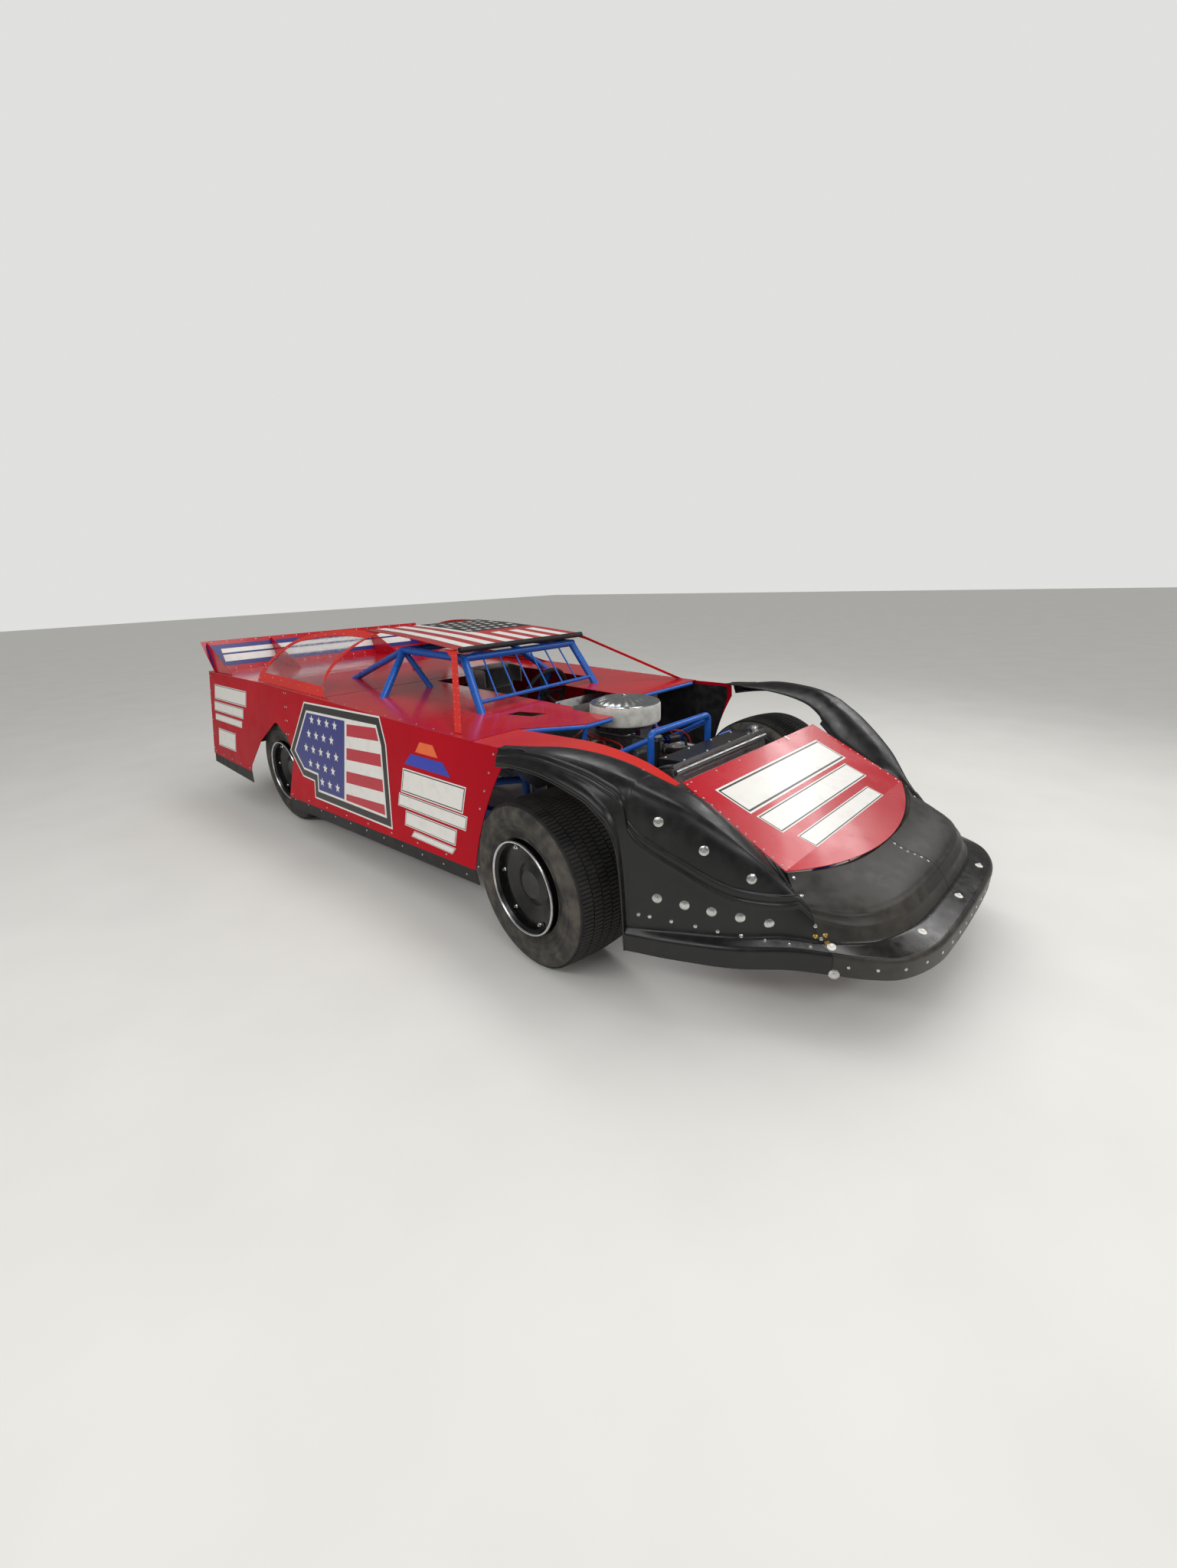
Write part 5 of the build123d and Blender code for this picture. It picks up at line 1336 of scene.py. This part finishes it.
def makeBodyRivets():
    bm = bmesh.new()
    for side in (-1, 1):
        for start, end, count in bodyRows:
            for spot in evenly(onSide(side, *start, 0), onSide(side, *end, 0), count):
                addRivet(bm, spot, sideNormal(side), 1.1)
    finishPiece("bodyRivets", bm, [zincPlate], "car")


postForm = {
    "head": (0.489, -0.112, 1.210),
    "foot": (0.896, -0.650, 0.900),
    "rows": (0.010, 0.042),  # y offsets of the two rows of rivets
    "count": 13,
    "outward": (0.1, -0.02, 0.15),
}


def makePostRivets():
    bm = bmesh.new()
    for side in (-1, 1):
        mirror = Vector((side, 1, 1))
        head, foot, out = (Vector(postForm[key]) * mirror for key in ("head", "foot", "outward"))
        for offset in postForm["rows"]:
            shift = Vector((0, offset, 0))
            for spot in evenly(head + shift, foot + shift, postForm["count"])[1:-1]:
                rivetWhereHit(bm, "window_posts", spot + out, -out, 0.7)
    finishPiece("postRivets", bm, [zincPlate], "car")


# Engine bay

hoseRoutes = [  # radius, points
    (0.011, [(-0.20, -1.10, 0.60), (-0.26, -1.02, 0.70), (-0.30, -0.90, 0.72), (-0.32, -0.78, 0.70),
             (-0.33, -0.632, 0.68)]),
    (0.014, [(-0.235, -1.07, 0.70), (-0.26, -1.12, 0.76), (-0.30, -1.20, 0.74), (-0.34, -1.27, 0.66)]),
    (0.014, [(0.24, -0.86, 0.70), (0.30, -0.80, 0.77), (0.36, -0.72, 0.78), (0.40, -0.645, 0.74)]),
]
radiatorHoseRadius = 0.018
radiatorHoseEnds = [  # end of the hose, direction into it
    ((0.381, -1.4346, 0.7048), (0.0, 0.949, -0.315)),
    ((0.090, -1.0773, 0.668), (0.0, -1.0, 0.0)),
    ((-0.381, -1.5428, 0.372), (0.0, 1.0, 0.0)),
    ((-0.103, -1.2153, 0.422), (0.0, -1.0, 0.0)),
]


def addClamp(bm, end, along, radius):
    # A screwed band a finger's width in from the hose's end, with its worm housing on top
    place = facing(end + along * 0.016, along)
    addCone(bm, place, radius + 0.0016, radius + 0.0016, -0.0055, 0.011, 20, 1)
    addBox(bm, place @ Matrix.Translation((0, radius + 0.004, 0)), (0.014, 0.006, 0.010), 1)


def makeHoses():
    # Heater hose and two breathers with worm clamps, and the clamps of the radiator hoses
    bm = bmesh.new()
    for radius, points in hoseRoutes:
        route = arcPoints(points)
        addTube(bm, route, radius, 14, 0)
        for end, following in ((route[0], route[1]), (route[-1], route[-2])):
            addClamp(bm, end, (following - end).normalized(), radius)
    for end, along in radiatorHoseEnds:
        addClamp(bm, Vector(end), Vector(along).normalized(), radiatorHoseRadius)
    finishPiece("bayHoses", bm, [hoseRubber, zincPlate], "car")


ignitionForm = {
    "cap": (0, -0.727, 0.784),
    "postCircle": 0.026,
    "firstPlug": -1.08,
    "plugPitch": 0.108,
    "loomX": 0.175,
    "loomPitch": 0.014,
    "leadRadius": 0.0042,
    "bootRadius": 0.009,
}


def makeIgnition():
    # Distributor posts and eight leads in a loom over each rocker cover
    form = ignitionForm
    bm = bmesh.new()
    for i in range(8):
        angle = i * math.pi / 4
        post = Vector(form["cap"]) + Vector((math.cos(angle), math.sin(angle), 0)) * form["postCircle"]
        addCone(bm, facing(post, (0, 0, 1)), 0.008, 0.006, 0, 0.022, 10, 0)
        side = -1 if math.cos(angle - 0.3) < 0 else 1
        row = i % 4
        y = form["firstPlug"] + row * form["plugPitch"]
        loomX = side * (form["loomX"] + row * form["loomPitch"])
        points = [post + Vector((0, 0, 0.018)), post + Vector((side * 0.02, 0, 0.045)), (loomX, -0.74, 0.765),
                  (loomX, y + 0.05, 0.75), (side * 0.30, y, 0.735), (side * 0.372, y, 0.60),
                  (side * 0.352, y, 0.50)]
        addTube(bm, arcPoints(points, 4), form["leadRadius"], 8, 1)
        addTube(bm, [(side * 0.366, y, 0.57), (side * 0.352, y, 0.50)], form["bootRadius"], 10, 0)
    finishPiece("ignitionLeads", bm, [gripRubber, redSilicone], "car")


drivePulleys = [(0, 0.372, 0.0885), (0, 0.562, 0.0705), (0.215, 0.500, 0.0365)]  # x, z, belt radius
beltForm = {"fronts": (-1.2795, -1.2685), "width": 0.009, "thickness": 0.004}


def beltLoop(grow):
    # The outline of a belt run round all the drive pulleys, as (x, z) points
    points = []
    for x, z, radius in drivePulleys:
        points += [Vector((x + u, z + v)) for u, v in aroundCircle(72, radius + grow)]
    return [points[i] for i in convex_hull_2d(points)]


def makeBelts():
    # Two belts side by side round the crank, pump and alternator pulleys
    bm = bmesh.new()
    inner, outer = beltLoop(0.0), beltLoop(beltForm["thickness"])
    count = min(len(inner), len(outer))
    inner, outer = inner[:count], outer[:count]
    for front in beltForm["fronts"]:
        rear = front + beltForm["width"]
        rings = []
        for outline, y in ((inner, front), (outer, front), (outer, rear), (inner, rear)):
            rings.append([bm.verts.new((p.x, y, p.y)) for p in outline])
        for low, high in zip(rings, rings[1:] + rings[:1]):
            for i in range(count):
                j = (i + 1) % count
                bm.faces.new((low[i], low[j], high[j], high[i]))
    finishPiece("driveBelts", bm, [gripRubber], "car")


engineForm = {
    "blockMiddle": (0, -0.965, 0.372),
    "bankAngle": 45,
    "coverTop": 0.3295,
    "coverBolts": [-0.21 + i * 0.105 for i in range(5)],
    "coverEdges": (-0.074, 0.074),
    "fuelInlets": [(-0.062, -1.02, 0.785), (-0.062, -0.755, 0.785), (0.062, -1.02, 0.785),
                   (0.062, -0.755, 0.785)],
    "fuelLine": [(-0.078, -1.02, 0.785), (-0.115, -1.02, 0.785), (-0.125, -0.98, 0.775),
                 (-0.125, -0.80, 0.775), (-0.115, -0.755, 0.785), (-0.078, -0.755, 0.785)],
    "alternator": (0.215, 0.50),
    "ventCircle": 0.046,
    "driveCap": (0.125, -1.15, 0.654),
    "knobCircle": 0.041,
}
engineTubes = [  # points, radius, segments, finish
    ([(-0.29, -1.24, 0.52), (-0.29, -1.10, 0.52)], 0.036, 24, 2),  # fuel pump
    ([(-0.17, -1.17, 0.46), (-0.28, -1.17, 0.515)], 0.012, 10, 4),
    ([(-0.05, -1.13, 0.60), (-0.055, -1.135, 0.70), (-0.06, -1.14, 0.765)], 0.019, 20, 4),  # oil filler
    ([(-0.06, -1.14, 0.762), (-0.061, -1.141, 0.784)], 0.028, 28, 1),
    ([(0.125, -1.15, 0.53), (0.125, -1.15, 0.625)], 0.024, 20, 0),  # drive under its orange cap
    ([(0.125, -1.15, 0.622), (0.125, -1.15, 0.655)], 0.054, 32, 5),
    ([(0.125, -1.15, 0.654), (0.125, -1.15, 0.672)], 0.036, 28, 5),
    ([(0.020, -1.135, 0.745), (0.040, -1.137, 0.743)], 0.017, 8, 3),  # fuel filter between its fittings
    ([(0.040, -1.137, 0.743), (0.120, -1.144, 0.737)], 0.022, 24, 4),
    ([(0.120, -1.144, 0.737), (0.142, -1.146, 0.735)], 0.017, 8, 3),
    ([(0.08, -1.14, 0.742), (0.075, -1.08, 0.70), (0.07, -1.06, 0.68)], 0.006, 8, 1),
]
fuelHoses = [
    [(0.020, -1.135, 0.745), (-0.03, -1.13, 0.752), (-0.10, -1.09, 0.77), (-0.115, -1.02, 0.785)],
    [(0.142, -1.146, 0.735), (0.19, -1.15, 0.72), (0.235, -1.12, 0.66), (0.25, -1.10, 0.60)],
]


def makeEngineTrim():
    # Rocker cover bolts, fuel fittings and line, alternator vents, pump, filler, orange cap and fuel filter
    form = engineForm
    bm = bmesh.new()
    bank, middle = math.radians(form["bankAngle"]), Vector(form["blockMiddle"])
    for side in (-1, 1):
        out = Vector((side * math.sin(bank), 0, math.cos(bank)))
        across = Vector((side * math.cos(bank), 0, -math.sin(bank)))
        for y in form["coverBolts"]:
            for edge in form["coverEdges"]:
                spot = middle + out * form["coverTop"] + across * edge + Vector((0, y, 0))
                addCone(bm, facing(spot, out), 0.012, 0.012, 0, 0.004, 16, 1)
                addCone(bm, facing(spot, out), 0.008, 0.008, 0.004, 0.008, 6, 1)
    for spot in form["fuelInlets"]:
        place = facing(spot, (math.copysign(1, spot[0]), 0, 0))
        addCone(bm, place, 0.011, 0.011, -0.004, 0.012, 6, 2)
        addCone(bm, place, 0.0085, 0.0085, 0.008, 0.016, 6, 3)
    addTube(bm, arcPoints(form["fuelLine"], 5), 0.005, 10, 1)
    x, z = form["alternator"]
    for u, v in aroundCircle(10, form["ventCircle"]):
        addCone(bm, facing((x + u, -1.2552, z + v), (0, -1, 0)), 0.007, 0.006, 0, 0.0025, 8, 4)
    addCone(bm, facing((x, -1.286, z), (0, -1, 0)), 0.014, 0.013, 0, 0.009, 6, 1)
    for points, radius, segments, material in engineTubes:
        addTube(bm, points, radius, segments, material)
    for u, v in aroundCircle(8, form["knobCircle"]):
        spot = Vector(form["driveCap"]) + Vector((u, v, 0))
        addCone(bm, facing(spot, (0, 0, 1)), 0.007, 0.006, 0, 0.016, 10, 5)
    for route in fuelHoses:
        addTube(bm, arcPoints(route, 5), 0.007, 10, 4)
    finishes = [castAluminium, zincPlate, redAnodised, blueAnodised, steelPaint, orangeCap]
    finishPiece("engineTrim", bm, finishes, "car")


radiatorForm = {
    "place": (0, -1.452, 0.742),
    "lean": -18,
    "cover": (0.640, 0.135, 0.012),
    "coverFront": (0, -0.032, 0.0120),
    "coverTilt": 15,  # the cover lies nearly level on the leaning core
    "coverHeel": 0.034,
    "rail": (0.820, 0.014, 0.018),
    "tankEnd": (0.064, 0.096, 0.010),
    "tankAt": 0.381,
    "coverBolts": [(x, y) for x in (-0.29, -0.10, 0.10, 0.29) for y in (0.016, 0.119)],
    "stayAt": 0.395,
}


def makeRadiatorTrim():
    # Black cover plate behind a bright rail, folded tank ends and the pressure cap
    form = radiatorForm
    bm = bmesh.new()
    lean, tilt = (Matrix.Rotation(math.radians(form[key]), 4, "X") for key in ("lean", "coverTilt"))
    place = Matrix.Translation(form["place"]) @ lean
    front = place @ Matrix.Translation(form["coverFront"]) @ tilt
    width, depth, thickness = form["cover"]
    slab = bmesh.ops.create_cube(bm, size=1)["verts"]
    for vert in slab:
        heel = form["coverHeel"] if vert.co.y > 0 and vert.co.z < 0 else 0
        vert.co = (vert.co.x * width, (vert.co.y + 0.5) * depth, vert.co.z * thickness - heel)
    bmesh.ops.transform(bm, matrix=front, verts=slab)
    for x, y in form["coverBolts"]:
        addCone(bm, front @ Matrix.Translation((x, y, thickness / 2)), 0.007, 0.006, 0, 0.003, 12, 1)
    addBox(bm, place @ Matrix.Translation((0, -0.036, 0.0128)), form["rail"], 2)
    for side in (-1, 1):
        addBox(bm, place @ Matrix.Translation((side * form["tankAt"], 0.012, 0.0152)), form["tankEnd"], 2)
    cap = place @ Matrix.Translation((form["tankAt"], 0, 0.034))
    addCone(bm, cap, 0.028, 0.027, 0.0003, 0.010, 28, 1)
    addBox(bm, cap @ Matrix.Translation((0, 0, 0.014)), (0.052, 0.014, 0.008), 1)
    for x in (-form["stayAt"], form["stayAt"]):
        addBox(bm, place @ Matrix.Translation((x, 0.035, -0.10)), (0.03, 0.016, 0.05), 1)
    finishPiece("radiatorTrim", bm, [blackVinyl, zincPlate, rimAluminium], "car")


# Air cleaner

cleanerForm = {
    "centre": (0, -0.887, 0.818),
    "steps": 144,
    "panTop": 0.006,  # base pan, then the cloth sock, then the lid
    "sockTop": 0.1035,
    "gathers": 36,
    "gatherDepth": 0.0007,
    "gatherRadius": 0.1865,
    "smoothBand": (0.02, 0.09),
    "ribs": 24,
    "ribHeight": 0.0024,
    "ribFrom": 0.070,
    "ribTo": 0.168,
    "profile": [  # radius, height
        (0, 0), (0.120, 0), (0.176, 0), (0.184, 0.005), (0.187, 0.008), (0.1885, 0.014), (0.1893, 0.03),
        (0.1895, 0.055), (0.1893, 0.08), (0.1885, 0.095), (0.187, 0.101), (0.183, 0.103), (0.183, 0.1045),
        (0.1845, 0.107), (0.1835, 0.110), (0.180, 0.1115), (0.175, 0.1110), (0.170, 0.1130), (0.160, 0.1175),
        (0.148, 0.1220), (0.132, 0.1265), (0.112, 0.1305), (0.090, 0.1340), (0.070, 0.1365),
        (0.050, 0.1385), (0.030, 0.1400), (0.013, 0.1405), (0.013, 0.1455), (0.010, 0.1475), (0, 0.1475),
    ],
}


def makeAirCleaner():
    # Cloth sock round the element, gathered at both edges, under a fluted polished lid with a low nut
    form = cleanerForm
    centre = Vector(form["centre"])
    smoothLow, smoothHigh = form["smoothBand"]
    bm = bmesh.new()
    verts = [bm.verts.new(centre + Vector((r, 0, z))) for r, z in form["profile"]]
    edges = [bm.edges.new(pair) for pair in zip(verts, verts[1:])]
    bmesh.ops.spin(bm, geom=verts + edges, cent=centre, axis=(0, 0, 1), angle=2 * math.pi,
                   steps=form["steps"], use_merge=True)
    bmesh.ops.remove_doubles(bm, verts=bm.verts, dist=1e-6)
    for vert in bm.verts:
        away = vert.co - centre
        height, away.z = away.z, 0
        angle = math.atan2(away.y, away.x)
        if form["ribFrom"] < away.length < form["ribTo"] and height > form["sockTop"]:
            share = math.sin(math.pi * (away.length - form["ribFrom"]) / (form["ribTo"] - form["ribFrom"]))
            vert.co.z += form["ribHeight"] * share * math.cos(angle * form["ribs"])
        elif away.length > form["gatherRadius"] and not smoothLow < height < smoothHigh:
            vert.co += away.normalized() * form["gatherDepth"] * math.cos(angle * form["gathers"])
    for face in bm.faces:
        height = face.calc_center_median().z - centre.z
        face.material_index = 2 if height < form["panTop"] else 1 if height > form["sockTop"] else 0
    piece = finishPiece("airCleaner", bm, [filterSock, polishedSteel, zincPlate], "car", 40)
    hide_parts("air_cleaner")


# Cockpit

dashForm = {
    "place": (0.215, -0.395, 0.80),
    "lean": -18,
    "size": (0.46, 0.002, 0.15),
    "gauges": [(-0.15, 0.01, 0.032), (-0.075, 0.01, 0.032), (0.0, 0.015, 0.042), (0.085, 0.01, 0.032),
               (0.16, 0.01, 0.032)],  # x, z, radius
    "switches": [(-0.16 + i * 0.03, -0.05) for i in range(5)],
    "stayAt": 0.215,
    "stayFoot": (-0.478, 0.72),
}


def makeCockpitTrim():
    # Dash plate with five blank gauges, a row of switches and two stays
    form = dashForm
    bm = bmesh.new()
    dash = Matrix.Translation(form["place"]) @ Matrix.Rotation(math.radians(form["lean"]), 4, "X")
    addBox(bm, dash, form["size"], 0)

    def onDash(x, z):
        return dash @ Matrix.Translation((x, 0.001, z)) @ Matrix.Rotation(-math.pi / 2, 4, "X")

    for x, z, radius in form["gauges"]:
        addCone(bm, onDash(x, z), radius, radius, 0, 0.014, 32, 1)
        addCone(bm, onDash(x, z), radius * 0.86, radius * 0.86, 0.0142, 0.0008, 32, 2)
    for x, z in form["switches"]:
        addCone(bm, onDash(x, z), 0.006, 0.005, 0, 0.016, 12, 1)
    for x in (-form["stayAt"], form["stayAt"]):
        foot = (form["place"][0] + x, *form["stayFoot"])
        addTube(bm, [dash @ Vector((x, 0, 0.06)), dash @ Vector((x, -0.02, 0.06)), foot], 0.006, 8, 0)
    finishPiece("dashPanel", bm, [sheetAluminium, steelPaint, whiteVinyl], "car")


seatPads = [  # name, centre, size, lean about X in degrees
    ("seatBackPad", (0.215, 0.425, 0.62), (0.26, 0.030, 0.46), 5.2),
    ("seatBasePad", (0.215, 0.185, 0.345), (0.27, 0.30, 0.034), -1.8),
    ("headPad", (0.215, 0.438, 0.925), (0.20, 0.030, 0.12), 3.0),
]
padRounding = 0.013


def makeSeatPads():
    for name, centre, size, lean in seatPads:
        bm = bmesh.new()
        bmesh.ops.create_cube(bm, size=1, matrix=Matrix.Diagonal((*size, 1)))
        bmesh.ops.bevel(bm, geom=bm.edges[:], offset=padRounding, segments=4, profile=0.5, affect="EDGES",
                        material=-1)
        bmesh.ops.transform(bm, verts=bm.verts,
                            matrix=Matrix.Translation(centre) @ Matrix.Rotation(math.radians(-lean), 4, "X"))
        piece = finishPiece(name, bm, [padFabric], "car", 60)


# Deck, roof and tail details

deckForm = {
    "line": [(-0.97, 0.890), (-0.85, 0.890), (1.5, 0.962), (2.56, 0.966)],  # y, z of its top
    "seams": (0.70, 1.60),
    "seamXs": [-0.90 + i * 0.12 for i in range(16)],
    "seamSize": (1.86, 0.0015, 0.0008),
    "edgeX": 0.915,
    "edgeYs": [-0.60 + i * 0.145 for i in range(22)],
    "cap": (0.046, 1.15),
}


def onDeck(x, y, lift=0.0):
    return Vector((x, y, heightOn(deckForm["line"], y) + lift))


def makeDeckTrim():
    # Rivet rows along the sheets' seams and edges, the round cap behind the cockpit and the seams
    form = deckForm
    bm = bmesh.new()
    for y in form["seams"]:
        for x in form["seamXs"]:
            addRivet(bm, onDeck(x, y), (0, 0, 1), 0.8, 0)
    for side in (-1, 1):
        for y in form["edgeYs"]:
            addRivet(bm, onDeck(side * form["edgeX"], y), (0, 0, 1), 0.8, 0)
    addCone(bm, Matrix.Translation(onDeck(*form["cap"])), 0.034, 0.030, -0.0005, 0.012, 32, 1)
    for y in form["seams"]:
        addBox(bm, Matrix.Translation(onDeck(0, y - 0.008, 0.0004)), form["seamSize"], 1)
    finishPiece("deckTrim", bm, [zincPlate, blackVinyl], "car")


roofRows = {
    "sideYs": [-0.06 + i * 0.115 for i in range(9)],
    "sideInset": 0.014,
    "frontXs": [-0.45 + i * 0.09 for i in range(11)],
    "frontY": -0.098,
}


def makeRoofTrim():
    bm = bmesh.new()
    for side in (-1, 1):
        for y in roofRows["sideYs"]:
            x = side * (roofHalf(y) - roofRows["sideInset"])
            addRivet(bm, onRoof(x, y, 0.0014), (0, 0, 1), 0.7)
    for x in roofRows["frontXs"]:
        addRivet(bm, onRoof(x, roofRows["frontY"], 0.0006), (0, 0, 1), 0.7)
    finishPiece("roofRivets", bm, [zincPlate], "car")


sailForm = {
    "normal": (0.589, -0.033, 0.807),
    "distance": 1.2724,
    "ends": [(0.665, 0.955), (0.735, 1.03), (0.80, 1.10), (0.842, 1.16), (0.842, 1.215), (0.80, 1.262),
             (1.62, 0.985), (1.676, 1.04), (1.686, 1.10), (1.66, 1.16), (1.605, 1.208)],  # y, z
    "top": [(0.90 + i * 0.11, 1.259 - 0.0024 * (i - 2) ** 2) for i in range(6)],
    "foot": [(0.80 + i * 0.13, 0.966 + i * 0.0052) for i in range(7)],
}


def makeSailTrim():
    # Rivets round the sail windows
    bm = bmesh.new()
    nx, ny, nz = sailForm["normal"]
    for side in (-1, 1):
        normal = Vector((side * nx, ny, nz))
        for y, z in sailForm["ends"] + sailForm["top"] + sailForm["foot"]:
            spot = Vector((side * (sailForm["distance"] - ny * y - nz * z) / nx, y, z))
            rivetWhereHit(bm, "sail_panels", spot + normal * 0.05, -normal, 0.8)
    finishPiece("sailRivets", bm, [zincPlate], "car")


doorLiner = [(-0.957, 0.812), (-0.785, 0.325), (0.30, 0.30), (0.30, 0.90), (-0.76, 0.870), (-0.955, 0.870)]


def makeLiners():
    # Black inner faces of the door panels, as on the open left arch
    bm = bmesh.new()
    for side in (-1, 1):
        layPolygon(bm, doorLiner, lambda y, z, depth: onSide(side, y, z, -0.0034 - depth), 0, 0)
    finishPiece("doorLiners", bm, [skirtPlastic], "car")


skirtRow = [(y, 0.25 - 0.015 * y) for y in (-0.74 + i * 0.185 for i in range(11))]  # y, z


def makeSkirtBolts():
    bm = bmesh.new()
    for side in (-1, 1):
        for y, z in skirtRow:
            rivetWhereHit(bm, "side_skirts", (side * 1.3, y, z), (-side, 0, 0), 1.0)
    finishPiece("skirtBolts", bm, [zincPlate], "car")


dressNodes()
makeCamera()
makeStudio()
print("stage: camera, studio and frame finishes")
makeNumberShields()
makeSideBars()
makeHoodBars()
makeRoofFlag()
makeSpoilerBand()
print("stage: graphics")
makeTyres()
makeRimRings()
print("stage: wheels")
makeNoseHalves()
makeFenders()
print("stage: moulded nose and fenders")
makeFenderBolts()
makeNoseBolts()
makeHoodRivets()
makeBodyRivets()
makePostRivets()
makeStripWashers()
makeTailTrim()
makeDeckTrim()
makeRoofTrim()
makeSailTrim()
makeLiners()
makeSkirtBolts()
print("stage: rivets and bolts")
makeHoses()
makeIgnition()
makeBelts()
makeEngineTrim()
makeRadiatorTrim()
makeAirCleaner()
makeCockpitTrim()
makeSeatPads()
print("stage: engine bay and cockpit")
